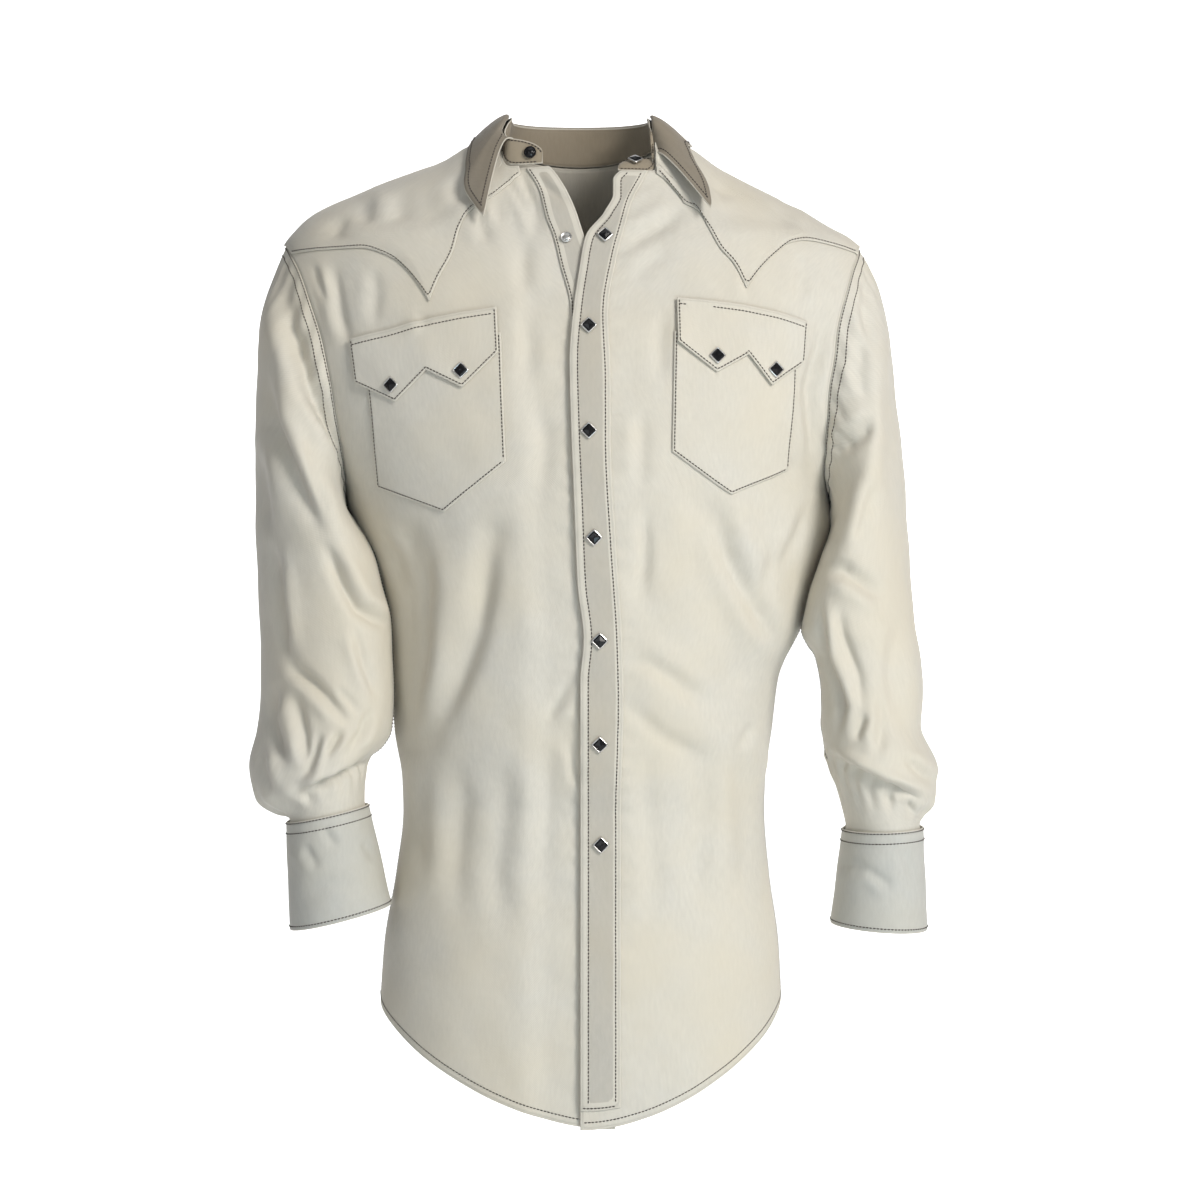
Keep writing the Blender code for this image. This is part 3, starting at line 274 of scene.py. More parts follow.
# The collar's fall: where it leaves the stand, and where its edge lies on the shoulders.
FallPoint = namedtuple("FallPoint", "stand_angle angle height lift roll")
COLLAR_FALL = [
    FallPoint(-20, -17.6, -70, 11, 5),
    FallPoint(-26, -21.4, -55, 9, 5),
    FallPoint(-33, -31, -27, 7, 5),
    FallPoint(-45, -45, -9, 6, 6),
    FallPoint(-62, -68, 3, 5.5, 6),
    FallPoint(-90, -90, 5, 5.5, 7),
    FallPoint(-130, -138, -6, 6.5, 7),
    FallPoint(-180, -180, -18, 6.5, 6),
    FallPoint(-230, -222, -6, 7, 7),
    FallPoint(-270, -270, 3, 5.5, 7),
    FallPoint(-292, -284, 1, 5.5, 6),
    FallPoint(-307, -300, -2, 6, 6),
    FallPoint(-320, -316, -18, 6.5, 5),
    FallPoint(-329, -327.5, -48, 11, 5),
    FallPoint(-336, -332.2, -65, 15, 5),
]
STAND_INSET = 1.6          # the stand's foot, inside the cut edge of the neck
STAND_LEAN = 0.88          # the stand's top against its foot, round the neck
STAND_FIRST = NECKLINE[0].angle + 3.0   # the stand's ends, clear of the fronts' corners
STAND_LAST = NECKLINE[-1].angle - 2.2
STAND_ROUND = 7.0          # degrees over which the stand's left end is rounded,
STAND_ROUND_RIGHT = 11.9   # and its right end
STAND_END = 0.45           # height of an end, as part of the whole
COLLAR_CURL = 6.0          # how far the open end of the stand curls back
CURL_ANGLE = -318.0        # the angle where the curl starts
# How far the front edges of the fall curve off a straight line between their two ends, and
# over how much of its length.
FALL_BOW_RIGHT = (-4.6, 0.0, -1.5)
FALL_BOW_LEFT = (2.6, -6.0, 3.0)
FALL_BOW_PART = 0.16

# Broad folds: soft troughs (depth over 0) and ridges (under 0) from one point to another.
Fold = namedtuple("Fold", "x0 height0 x1 height1 width depth")
FRONT_FOLDS = [
    Fold(-68, -322, -122, -486, 13, 5),
    Fold(-136, -324, -142, -492, 12, 5),
    Fold(60, -312, 52, -366, 11, 3),
    Fold(124, -300, 168, -408, 14, -4),
    Fold(100, -300, 128, -428, 16, 3.5),
    Fold(58, -436, 146, -506, 14, -4),
    Fold(194, -150, 178, -262, 14, 4),
]

# How far the sides billow out below the arms, where they touch the sleeves.
Billow = namedtuple("Billow", "height right left")
SIDE_BILLOWS = [
    Billow(-258, 0, 0), Billow(-275, 4.5, 6), Billow(-292, 10, 11.5), Billow(-308, 10, 15),
    Billow(-338, 5.5, 8), Billow(-363, 4.5, 5), Billow(-389, 4, 4), Billow(-408, 2.5, 1.2),
    Billow(-424, 1.5, 0), Billow(-450, 0, 0),
]
BILLOW_ANGLE = 97.0        # where the sides billow most, just behind the seams,
BILLOW_WIDTH = 22.0        # and how many degrees round them
SHOULDER_SETTLE = 4.4      # how far the cloth sinks between the collar and the armholes

# The front drawing: its size, one unit on the middle plane, the middle of the sheet, and the
# distance from which it is seen.
DRAWING_SIZE = 1200
DRAWING_UNIT = 0.84
DRAWING_X = 17.6
DRAWING_HEIGHT = -372.0
DRAWING_DISTANCE = 1800.0

# Creases: a line on the front drawing, the trough's width in its units and its depth, and the
# height of the ridge beside it, on the right hand of someone who walks along the line (on the
# left hand if under 0).
Crease = namedtuple("Crease", "line width depth ridge")
BODY_FRONT_CREASES = [
    Crease([(494, 530), (487, 578), (477, 634), (456, 690), (434, 742)], 11, 5.0, 2.2),
    Crease([(424, 530), (426, 592), (422, 648), (409, 740)], 9, 3.8, -2.0),
    Crease([(644, 500), (645, 560), (640, 600)], 6, 2.2, -1.2),
    Crease([(543, 724), (560, 699), (576, 676)], 6, 2.4, 1.2),
    Crease([(566, 735), (573, 760), (579, 790)], 5, 1.8, 1.0),
    Crease([(622, 650), (661, 672), (715, 712)], 9, 3.2, -1.8),
    Crease([(716, 500), (728, 556), (752, 604), (786, 660)], 9, 4.0, 3.0),
    Crease([(730, 752), (744, 738), (756, 720)], 5, 2.0, 1.0),
    Crease([(620, 700), (660, 735), (716, 768)], 8, 1.8, -1.4),
    Crease([(452, 742), (462, 800), (456, 870), (463, 930)], 12, 2.4, 1.4),
    Crease([(498, 738), (505, 796), (497, 872), (506, 946)], 12, 2.0, -1.2),
    Crease([(544, 744), (548, 802), (542, 880)], 9, 1.2, 0.8),
    Crease([(652, 738), (647, 800), (655, 872), (648, 946)], 11, 1.8, 1.0),
    Crease([(700, 730), (705, 792), (697, 866), (704, 930)], 12, 2.2, -1.2),
    Crease([(745, 716), (738, 780), (746, 850), (740, 910)], 11, 2.2, 1.4),
    Crease([(422, 760), (418, 820), (426, 890)], 9, 1.8, -1.0),
    Crease([(517, 164), (524, 181), (534, 203), (542, 236)], 4, 3.4, 1.6),
    Crease([(506, 174), (517, 190), (528, 210), (537, 240)], 4, 3.0, 1.4),
    Crease([(535, 172), (544, 183), (556, 193), (571, 201)], 4, 1.6, -1.0),
    Crease([(494, 194), (497, 210), (499, 226)], 5, 1.8, 1.2),
    Crease([(477, 206), (481, 222), (487, 246)], 6, 1.8, 1.2),
    Crease([(528, 232), (522, 262), (524, 300)], 8, 1.4, -0.8),
    Crease([(459, 172), (458, 190), (461, 210)], 9, 2.4, 1.0),
    Crease([(402, 186), (399, 200), (400, 226)], 10, 2.0, 1.0),
    Crease([(366, 190), (364, 204), (366, 228)], 9, 1.8, -0.8),
    Crease([(341, 212), (338, 228), (330, 246)], 8, 2.4, 1.4),
    Crease([(336, 258), (335, 282), (341, 318), (352, 352)], 6, 2.6, 1.8),
    Crease([(312, 262), (319, 280), (328, 306)], 4, 1.6, -1.0),
    Crease([(372, 262), (376, 290), (372, 330)], 7, 1.6, 0.9),
    Crease([(420, 312), (424, 322), (430, 330)], 6, 1.0, 0.8),
    Crease([(690, 206), (667, 221), (643, 236), (616, 251)], 8, 2.8, 1.4),
    Crease([(672, 250), (650, 264), (628, 280)], 8, 1.4, 0.8),
    Crease([(833, 305), (822, 350), (812, 390), (817, 440), (812, 500)], 8, 4.6, 2.4),
    Crease([(643, 405), (642, 440), (640, 498)], 8, 2.0, 1.2),
    Crease([(666, 300), (660, 340), (662, 392)], 8, 1.4, -0.9),
    Crease([(538, 400), (545, 440), (541, 500)], 9, 1.6, 1.0),
    Crease([(520, 300), (528, 344), (524, 392)], 9, 1.4, -0.9),
    Crease([(380, 530), (394, 560), (402, 596)], 6, 2.2, -1.2),
    Crease([(808, 500), (796, 536), (779, 574)], 6, 2.2, 1.2),
    Crease([(776, 540), (764, 580), (757, 628)], 7, 1.8, 1.0),
    Crease([(740, 268), (745, 282), (752, 300)], 5, 1.0, 0.8),
    Crease([(800, 250), (803, 276), (798, 310)], 7, 1.8, 1.0),
    Crease([(712, 180), (724, 190), (738, 197)], 6, 1.6, 0.8),
    Crease([(778, 196), (786, 210), (789, 232)], 9, 1.6, -0.9),
]
BODY_BACK_CREASES = [
    Crease([(520, 340), (505, 430), (474, 540), (452, 640)], 10, 3.4, 1.8),
    Crease([(690, 340), (706, 430), (731, 540), (744, 640)], 10, 3.4, -1.8),
    Crease([(600, 420), (604, 520), (592, 640)], 9, 2.4, 1.4),
    Crease([(380, 330), (420, 420), (455, 480)], 9, 3.0, 1.4),
    Crease([(830, 330), (790, 420), (752, 480)], 9, 3.0, -1.4),
    Crease([(552, 560), (548, 640), (557, 716)], 7, 2.4, -1.2),
    Crease([(656, 570), (660, 650), (648, 724)], 7, 2.4, 1.2),
    Crease([(470, 700), (476, 752), (468, 806)], 6, 2.4, 1.4),
    Crease([(520, 730), (517, 770), (522, 812)], 6, 2.0, -1.2),
    Crease([(604, 742), (608, 776), (601, 816)], 6, 2.2, 1.2),
    Crease([(684, 728), (687, 768), (681, 812)], 6, 2.0, 1.2),
    Crease([(735, 700), (729, 752), (738, 806)], 6, 2.4, -1.4),
    Crease([(500, 820), (494, 884), (503, 946)], 9, 2.2, 1.2),
    Crease([(650, 826), (657, 890), (646, 950)], 9, 2.2, -1.2),
    Crease([(440, 160), (436, 190), (446, 226)], 9, 2.0, 1.0),
    Crease([(772, 164), (778, 196), (766, 230)], 9, 2.0, -1.0),
    Crease([(560, 196), (604, 214), (652, 198)], 9, 1.6, 0.9),
]
SLEEVE_RIGHT_CREASES = [
    Crease([(283, 262), (289, 326), (312, 390), (342, 440), (372, 512)], 9, 7.0, 3.2),
    Crease([(260, 350), (270, 424), (298, 488), (328, 548)], 9, 6.0, -3.0),
    Crease([(255, 440), (262, 490), (271, 542)], 7, 3.2, -1.6),
    Crease([(300, 420), (312, 470), (332, 528)], 6, 2.0, -1.4),
    Crease([(268, 536), (276, 565), (281, 617), (284, 647), (294, 668)], 6, 4.2, -2.0),
    Crease([(284, 650), (296, 670), (314, 685), (332, 703), (354, 728)], 6, 4.2, 2.0),
    Crease([(319, 536), (332, 560), (345, 588), (358, 609), (383, 624), (396, 640)], 7, 5.0, -3.0),
    Crease([(352, 622), (365, 668), (381, 706)], 5, 2.0, 1.4),
    Crease([(334, 686), (348, 700), (362, 716)], 4, 1.8, 1.0),
    Crease([(276, 680), (271, 719), (285, 770)], 6, 3.6, -1.8),
    Crease([(294, 690), (304, 734), (306, 774)], 5, 3.4, 1.8),
    Crease([(321, 728), (315, 754), (309, 770), (297, 781)], 4, 3.2, -1.6),
    Crease([(344, 726), (334, 744), (322, 760)], 4, 2.6, -1.4),
    Crease([(372, 706), (362, 734), (348, 752)], 5, 2.4, -1.4),
    Crease([(262, 742), (262, 768), (272, 796)], 5, 2.2, -1.6),
    Crease([(296, 795), (312, 790), (338, 778), (372, 760)], 5, 5.0, -3.0),
    Crease([(303, 790), (308, 800), (312, 815)], 3, 1.8, 0.9),
    Crease([(321, 787), (324, 798), (323, 811)], 3, 1.8, -0.9),
    Crease([(338, 781), (337, 794), (341, 807)], 3, 1.8, 0.9),
    Crease([(355, 776), (352, 790), (355, 804)], 3, 1.8, -0.9),
]
SLEEVE_LEFT_CREASES = [
    Crease([(880, 416), (858, 436), (831, 456)], 9, 4.2, 2.2),
    Crease([(868, 262), (864, 300), (872, 350)], 6, 2.2, 1.4),
    Crease([(893, 330), (897, 420), (893, 520)], 10, 2.8, -1.6),
    Crease([(862, 330), (860, 370), (868, 412)], 8, 2.0, 1.2),
    Crease([(878, 476), (868, 516), (856, 552)], 8, 2.6, 1.4),
    Crease([(820, 566), (846, 572), (890, 600)], 8, 5.0, 2.6),
    Crease([(816, 592), (822, 627), (827, 657), (838, 685), (843, 706), (834, 748)], 5, 4.2, -3.0),
    Crease([(838, 600), (842, 636), (858, 676), (862, 712)], 6, 2.8, 1.6),
    Crease([(900, 610), (893, 670), (903, 740)], 9, 3.0, -1.6),
    Crease([(866, 712), (861, 726), (855, 742)], 4, 2.4, -1.2),
    Crease([(880, 690), (884, 724), (876, 762)], 6, 2.4, 1.4),
    Crease([(902, 756), (920, 771), (937, 786)], 5, 2.6, -1.4),
    Crease([(822, 750), (844, 765), (882, 785), (918, 798), (934, 806)], 5, 5.0, -3.0),
    Crease([(845, 770), (849, 790), (862, 810)], 3, 2.2, -1.0),
    Crease([(868, 780), (870, 800), (876, 820)], 3, 1.8, 0.9),
    Crease([(890, 790), (889, 806), (894, 824)], 3, 1.8, -0.9),
    Crease([(908, 800), (911, 812), (908, 826)], 3, 1.8, 0.9),
]
CUFF_RIGHT_CREASES = [
    Crease([(303, 842), (310, 856), (320, 870)], 5, 1.8, 0.9),
    Crease([(322, 826), (330, 838), (339, 848)], 5, 1.6, -0.8),
    Crease([(362, 840), (369, 851), (377, 862)], 5, 1.6, 0.8),
    Crease([(296, 892), (330, 884), (372, 886)], 9, 1.4, 0.7),
]
CUFF_LEFT_CREASES = [
    Crease([(858, 864), (876, 876), (896, 890)], 5, 2.0, 1.0),
    Crease([(834, 868), (850, 866), (870, 870)], 8, 1.8, 0.9),
    Crease([(900, 846), (908, 862), (914, 880)], 6, 1.4, 0.8),
]

# Cloth pieces: the size that each was cut to and its area, in metres, how it is held now and
# what it lies on or hangs from.
Cut = namedtuple("Cut", "width length area held rests_on")

# Stitching: the edge of a piece's grid that a line follows, how far inside it, and how far the
# line keeps from its two ends (under 0: measured from the other end).
Seam = namedtuple("Seam", "edge away from_start from_end")
HEM_SEAM = Seam("foot", 6.0, 3.0, 3.0)
SIDE_SEAM = Seam("end", 1.8, -412.0, 3.0)
YOKE_SEAM = Seam("foot", 1.9, 2.0, 2.0)
PLACKET_SEAMS = [Seam("start", 6.4, 3.0, 3.0), Seam("end", 4.2, 3.0, 3.0),
                 Seam("foot", 2.0, 2.0, 2.0)]
UNDER_SEAMS = [Seam("end", 1.7, 2.0, 3.0), Seam("foot", 2.0, 2.0, 2.0)]
POCKET_SEAMS = [Seam("start", 1.8, 2.0, 1.8), Seam("end", 1.8, 2.0, 1.8),
                Seam("foot", 1.8, 1.8, 1.8)]
FLAP_SEAM = Seam("head", 5.4, 2.0, 2.0)
OPEN_FLAP_SEAMS = [Seam("head", 5.4, 2.0, -9.0), Seam("head", 5.4, 29.0, 2.0)]
ARMHOLE_SEAMS = [Seam("head", 1.2, 0.0, 0.0), Seam("head", 7.6, 0.0, 0.0)]
SLIT_SEAMS = [Seam("start", 1.6, 1.6, 1.0), Seam("end", 1.6, 1.6, 1.0),
              Seam("head", 1.6, 1.6, 1.6)]
CUFF_SEAMS = [Seam("head", 1.3, 2.0, 2.0), Seam("head", 9.4, 2.0, 2.0),
              Seam("foot", 3.2, 2.0, 2.0), Seam("end", 2.0, 2.0, 3.0)]
STAND_SEAMS = [Seam("foot", 1.6, 2.0, 2.0), Seam("head", 1.5, 2.0, 2.0)]
FALL_SEAMS = [Seam("foot", 4.6, 4.6, 4.6), Seam("start", 4.6, 6.0, 4.6),
              Seam("end", 4.6, 6.0, 4.6)]

# How fine the grids are: steps down a panel in mm, and points across and down the others.
FRONT_STEP = 3.6
FRONT_COLUMNS = 98
BACK_STEP = 4.2
BACK_COLUMNS = 144
YOKE_ROWS = 44
YOKE_COLUMNS = (46, 27)      # along the inner and the outer part of a yoke's traced line
BACK_YOKE_GRID = (121, 60)   # columns and rows, as for the cuffs and the fall
BAND_COLUMNS = 14
PATCH_STEPS = 48
SLEEVE_TURNS = 180
CUFF_GRID = (170, 32)
CUFF_SNAP_GRID = (300, 7)    # a cuff's grid for its snaps, and their places on it
CUFF_SNAP_COLUMN = 289
CUFF_SNAP_ROWS = (1, 3, 5)
STAND_ROWS = 14
STAND_COLUMNS = (150, 14)    # between the stand's ends, and on the degrees at each end
STAND_END_DEGREES = 8.0
FALL_GRID = (190, 30)

# Fasteners: profiles of radius (as part of a snap's half side, for the first two) and height.
BEZEL = [(0.96, 0.0), (1.0, 0.35), (1.0, 0.95), (0.95, 1.35), (0.86, 1.55), (0.80, 1.35),
         (0.78, 0.95)]
STONE = [(0.79, 0.95), (0.77, 1.5), (0.60, 2.15), (0.10, 2.95)]
STUD = [(4.3, 0), (4.6, 0.3), (4.6, 0.9), (4.2, 1.2), (3.4, 1.0), (2.9, 0.8), (2.5, 1.0),
        (2.4, 2.0), (2.0, 2.45), (1.0, 2.6), (0.3, 2.62)]
BUTTON = [(4.7, 0), (5.0, 0.3), (5.0, 0.8), (4.6, 1.2), (3.9, 1.3), (3.5, 1.15), (3.0, 1.4),
          (2.2, 2.2), (1.2, 2.5), (0.3, 2.55)]
BEZEL_POWER = 9.0          # how square the bezel's outline is

# Cut edges: how far inside one its turn starts, by how much of the wall it is drawn in, and the
# greatest distance from one that a material is told.
EDGE_TURN = 0.6
EDGE_DRAWN = 0.34
EDGE_REACH = 30.0

# The cloths' finishes: the slot, the colour, the sheen, and the width of a paler strip at the
# edges of the bands.
Finish = namedtuple("Finish", "slot colour sheen strip")
CLOTHS = {
    "shirt_cloth": Finish("gabardine", "cloth", 0.2, 0.0),
    # The cuffs' finish carries painted shade: their colour is the cloth's, darker and cooler.
    "shirt_cuff_cloth": Finish("gabardine", "cuffs", 0.2, 0.0),
    # The stand's finish is partly its own darker taupe cloth and partly painted shade.
    "shirt_stand_cloth": Finish("gabardine", "stand", 0.15, 0.0),
    "shirt_band_cloth": Finish("gabardine_band", "band", 0.2, 6.4),
    "shirt_collar_cloth": Finish("gabardine_collar", "collar", 0.15, 0.0),
}


def smooth(table_x, table_y, x):
    """Monotone cubic through the table's points, so a curve never swings past them."""
    order = np.argsort(table_x)
    xs = np.asarray(table_x, float)[order]
    ys = np.asarray(table_y, float)[order]
    step = np.diff(xs)
    slope = np.diff(ys) / step
    tangent = np.zeros_like(ys)
    tangent[0] = slope[0]
    tangent[-1] = slope[-1]
    before = slope[:-1]
    after = slope[1:]
    weight_before = step[:-1] + 2 * step[1:]
    weight_after = 2 * step[:-1] + step[1:]
    same_way = before * after > 0
    total = weight_before + weight_after
    safe_before = np.where(same_way, before, 1.0)
    safe_after = np.where(same_way, after, 1.0)
    mean = total / (weight_before / safe_before + weight_after / safe_after)
    tangent[1:-1] = np.where(same_way, mean, 0.0)
    x = np.clip(np.asarray(x, float), xs[0], xs[-1])
    i = np.clip(np.searchsorted(xs, x) - 1, 0, len(xs) - 2)
    t = (x - xs[i]) / step[i]
    rise = t * t * (3 - 2 * t)
    start = t * (1 - t) ** 2 * step[i] * tangent[i]
    end = -t * t * (1 - t) * step[i] * tangent[i + 1]
    return ys[i] * (1 - rise) + ys[i + 1] * rise + start + end


def ease(x):
    """0 below 0, 1 above 1, and a soft S between."""
    x = np.clip(x, 0.0, 1.0)
    return x * x * (3 - 2 * x)


def column(table, name, position, key):
    """One column of a table, read at a position of its key column."""
    keys = [getattr(row, key) for row in table]
    values = [getattr(row, name) for row in table]
    return smooth(keys, values, position)


def body_column(name, height):
    return column(BODY, name, height, "height")


def unit(vectors):
    return vectors / np.linalg.norm(vectors, axis=-1, keepdims=True)


def body_point(angle, height):
    """A point on the plain body: a superellipse section at that height."""
    turn = np.radians(angle)
    sine = np.sin(turn)
    cosine = np.cos(turn)
    power = body_column("square", height)
    reach = (np.abs(sine) ** power + np.abs(cosine) ** power) ** (-1 / power)
    width = np.where(sine < 0, body_column("right", height), body_column("left", height))
    side_y = body_column("side_y", height)
    front = body_column("front", height) + side_y
    back = body_column("back", height) - side_y
    depth = np.where(cosine > 0, front, back)
    return np.stack([width * reach * sine, side_y - depth * reach * cosine,
                     height + 0 * turn], axis=-1)


def body_normal(angle, height):
    """The outward normal, from small steps round and up the body."""
    small = 0.05
    across = body_point(angle + small, height) - body_point(angle - small, height)
    up = body_point(angle, height + small) - body_point(angle, height - small)
    return unit(np.cross(across, up))


def angle_at_x(x, height):
    """The angle on the front half where the section is x from the middle."""
    power = body_column("square", height)
    width = np.where(np.asarray(x) < 0, body_column("right", height),
                     body_column("left", height))
    sine = np.clip(x / width, -1, 1)
    cosine = (1 - np.abs(sine) ** power) ** (1 / power)
    return np.degrees(np.arctan2(sine, cosine))


def angle_at_y(y, height, side):
    """The angle on one side (-1 right, 1 left) where the section is at y."""
    power = body_column("square", height)
    side_y = body_column("side_y", height)
    front = body_column("front", height) + side_y
    back = body_column("back", height) - side_y
    forward = side_y - np.asarray(y)
    cosine = np.clip(np.where(forward > 0, forward / front, forward / back), -1, 1)
    sine = (1 - np.abs(cosine) ** power) ** (1 / power)
    return side * np.degrees(np.arctan2(sine, cosine))


def fold_relief(x, height):
    """The broad folds of the fronts: each is a soft trough along a line, with round ends."""
    total = 0.0 * x
    for fold in FRONT_FOLDS:
        run_x = fold.x1 - fold.x0
        run_z = fold.height1 - fold.height0
        length = math.hypot(run_x, run_z)
        along = ((x - fold.x0) * run_x + (height - fold.height0) * run_z) / length ** 2
        near = np.clip(along, 0.0, 1.0)
        away = np.hypot(x - fold.x0 - near * run_x, height - fold.height0 - near * run_z)
        total = total - fold.depth * np.exp(-(away / fold.width) ** 2)
    return total


def on_drawing(points):
    """U and V of points on the front drawing, as seen from its distance."""
    scale = DRAWING_DISTANCE / (DRAWING_DISTANCE + points[..., 1]) / DRAWING_UNIT
    return (DRAWING_SIZE / 2 + (points[..., 0] - DRAWING_X) * scale,
            DRAWING_SIZE / 2 - (points[..., 2] - DRAWING_HEIGHT) * scale)


def crease_relief(creases, u, v):
    """The creases at U and V: a bell-shaped trough along each line with a softer ridge beside
    it, both fading to nothing at the two ends of the line."""
    total = np.zeros_like(u)
    for crease in creases:
        line = np.array(crease.line, float)
        run = np.diff(line, axis=0)
        length = np.hypot(run[:, 0], run[:, 1])
        start = np.concatenate([[0], np.cumsum(length)[:-1]])
        to_u = u[..., None] - line[:-1, 0]
        to_v = v[..., None] - line[:-1, 1]
        along = np.clip((to_u * run[:, 0] + to_v * run[:, 1]) / length ** 2, 0, 1)
        away = np.hypot(to_u - along * run[:, 0], to_v - along * run[:, 1])
        hand = np.sign(run[:, 0] * to_v - run[:, 1] * to_u)
        nearest = np.argmin(away, axis=-1)[..., None]
        part = np.take_along_axis(start + along * length, nearest, -1)[..., 0] / length.sum()
        signed = np.take_along_axis(hand * away, nearest, -1)[..., 0]
        fade = ease(part / 0.35) * ease((1 - part) / 0.35)
        trough = crease.depth * np.exp(-(signed / crease.width) ** 2)
        offset = 1.9 * crease.width * np.sign(crease.ridge)
        ridge = abs(crease.ridge) * np.exp(-((signed - offset) / (1.3 * crease.width)) ** 2)
        total += fade * (ridge - trough)
    return total


def band_puckers(x, height):
    """Small puckers beside the placket's two edges: sines down the shirt of uneven length."""
    seam = column(PLACKET_SEAM, "x", height, "height") + 3.0
    edge = column(LEFT_EDGE, "x", height, "height") - 4.0
    ripple = np.sin(height * 0.36 + 1.9 * np.sin(height * 0.061))
    other = np.sin(height * 0.29 + 2.3 * np.sin(height * 0.047 + 1.0))
    beside = np.exp(-((x - seam) / 9.0) ** 2) * ripple
    return 0.55 * beside + 0.45 * np.exp(-((x - edge) / 8.0) ** 2) * other


def soft_waves(u, v, seed):
    """Slow uneven waves in the cloth: a sum of sines with set directions and lengths."""
    total = np.zeros_like(u)
    for number in range(6):
        turn = seed * 1.7 + number * 2.4
        length = 46.0 + 17.0 * ((number * 3 + seed) % 5)
        total += np.sin((u * math.cos(turn) + v * math.sin(turn)) * math.tau / length + turn)
    return total / 6


def side_billow(angle, height):
    """How far the sides billow out at an angle and a height."""
    turn = np.abs((angle + 180) % 360 - 180)
    out = np.where(np.sin(np.radians(angle)) < 0,
                   column(SIDE_BILLOWS, "right", height, "height"),
                   column(SIDE_BILLOWS, "left", height, "height"))
    return out * np.exp(-((turn - BILLOW_ANGLE) / BILLOW_WIDTH) ** 2)


def body_relief(angle, point):
    """All folds and creases of the body at a point, front and back."""
    facing = np.cos(np.radians(angle))
    strength = bpy.context.scene.shirt_sizes.crease_strength
    u, v = on_drawing(point)
    in_front = ease((facing - 0.1) / 0.2)
    behind = ease((-facing - 0.1) / 0.2)
    front = crease_relief(BODY_FRONT_CREASES, u, v) + 0.8 * soft_waves(u, v, 1)
    front = front + band_puckers(point[..., 0], point[..., 2])
    back = crease_relief(BODY_BACK_CREASES, u, v) + 0.9 * soft_waves(u, v, 2)
    calm = ease((-point[..., 2] - 40) / 60)
    broad = fold_relief(point[..., 0], point[..., 2]) * in_front
    broad = broad + side_billow(angle, point[..., 2])
    settled = ease((np.abs(point[..., 0]) - 90) / 30) * ease((point[..., 2] + 80) / 22)
    broad = broad - SHOULDER_SETTLE * settled
    return broad + strength * (front * in_front + back * behind * calm)


def on_body(angle, height, out):
    """A point on the folded body, moved out along its normal."""
    point = body_point(angle, height)
    return point + body_normal(angle, height) * np.expand_dims(body_relief(angle, point) + out, -1)


def edge_angle(table, height):
    return angle_at_x(column(table, "x", height, "height"), height)


def neck_height(angle):
    """Height of the neckline at an angle from -350 at the left front, round the back."""
    return column(NECKLINE, "height", angle, "angle")


def armhole_point(turn, side, is_back, beyond=0.0):
    """Angle and height of the set-in line; turn runs from 90 at the top to -90 below.  beyond
    moves the line away from the armhole's middle."""
    middle = (ARMHOLE_TOP[side] + ARMHOLE_BOTTOM) / 2
    half = (ARMHOLE_TOP[side] - ARMHOLE_BOTTOM) / 2 + beyond
    height = middle + half * np.sin(np.radians(turn))
    reach = (ARMHOLE_DEPTH + beyond) * np.cos(np.radians(turn))
    y = ARMHOLE_Y + (reach if is_back else -reach)
    y = y + (body_column("side_y", height) - ARMHOLE_Y) * ease((np.abs(turn) - 72) / 18)
    return angle_at_y(y, height, side), height


def side_edge(side, is_back, rows):
    """Angles and heights down a panel's outer edge: shoulder, armhole and side seam."""
    neck = float(neck_height(-90.0))
    shoulder = neck + (ARMHOLE_TOP[side] - neck) * rows / SHOULDER_STEPS
    turn = np.clip(90 - 180 * (rows - SHOULDER_STEPS) / ARMHOLE_STEPS, -90, 90)
    arm_angle, arm_height = armhole_point(turn, side, is_back)
    lower = [ARMHOLE_BOTTOM] + BELOW_ARMHOLE + [HEM_SIDE]
    below = smooth(np.arange(len(lower)), lower, rows - SHOULDER_STEPS - ARMHOLE_STEPS)
    on_arm = (rows >= SHOULDER_STEPS) & (rows <= SHOULDER_STEPS + ARMHOLE_STEPS)
    heights = np.where(on_arm, arm_height, np.where(rows < SHOULDER_STEPS, shoulder, below))
    angles = np.where(on_arm, arm_angle, 90.0 * side)
    gap = np.degrees(SEAM_GAP / 2 / body_column("front", heights))
    return angles + side * (gap if is_back else -gap), heights


def front_edge(side, rows):
    """Angles and heights down a front's inner edge."""
    table = LEFT_EDGE if side > 0 else RIGHT_EDGE
    corner = NECK_END_LEFT - 360 if side > 0 else NECK_END_RIGHT
    chest = np.linspace(FRONT_SHOULDER_HEIGHTS[-1], ARMHOLE_BOTTOM, ARMHOLE_STEPS + 1)
    heights = ([float(neck_height(corner))] + FRONT_SHOULDER_HEIGHTS[1:SHOULDER_STEPS]
               + list(chest) + BELOW_ARMHOLE + [HEM_MIDDLE])
    height = smooth(np.arange(LAST_ROW + 1), heights, rows)
    return edge_angle(table, height), height


def between_edges(first, last, across):
    """Angles and heights at a part of the way from one edge to the other."""
    return [a * (1 - across) + b * across for a, b in zip(first, last)]


def panel_place(edges, neck_turn, hem_curve, hem_rows, rows, across):
    """Angle and height on a panel between two edges, each a function of the row.  Over its
    first rows the neckline shapes it, and over its last rows the curve of the hem."""
    rows = np.asarray(rows, float) + 0 * np.asarray(across, float)
    across = across + 0 * rows
    angles, heights = between_edges(*(edge(rows) for edge in edges), across)
    first_angle, first_height = between_edges(*(edge(np.zeros(1)) for edge in edges), across)
    last_row = np.full(1, float(LAST_ROW))
    last_height = between_edges(*(edge(last_row) for edge in edges), across)[1]
    neck_dip = neck_height(first_angle + neck_turn) - first_height
    hem_dip = hem_curve(across) * (HEM_MIDDLE - HEM_SIDE) + HEM_SIDE - last_height
    heights = heights + neck_dip * (1 - ease(rows / SHOULDER_STEPS))
    return angles, heights + hem_dip * (1 - ease((LAST_ROW - rows) / hem_rows))


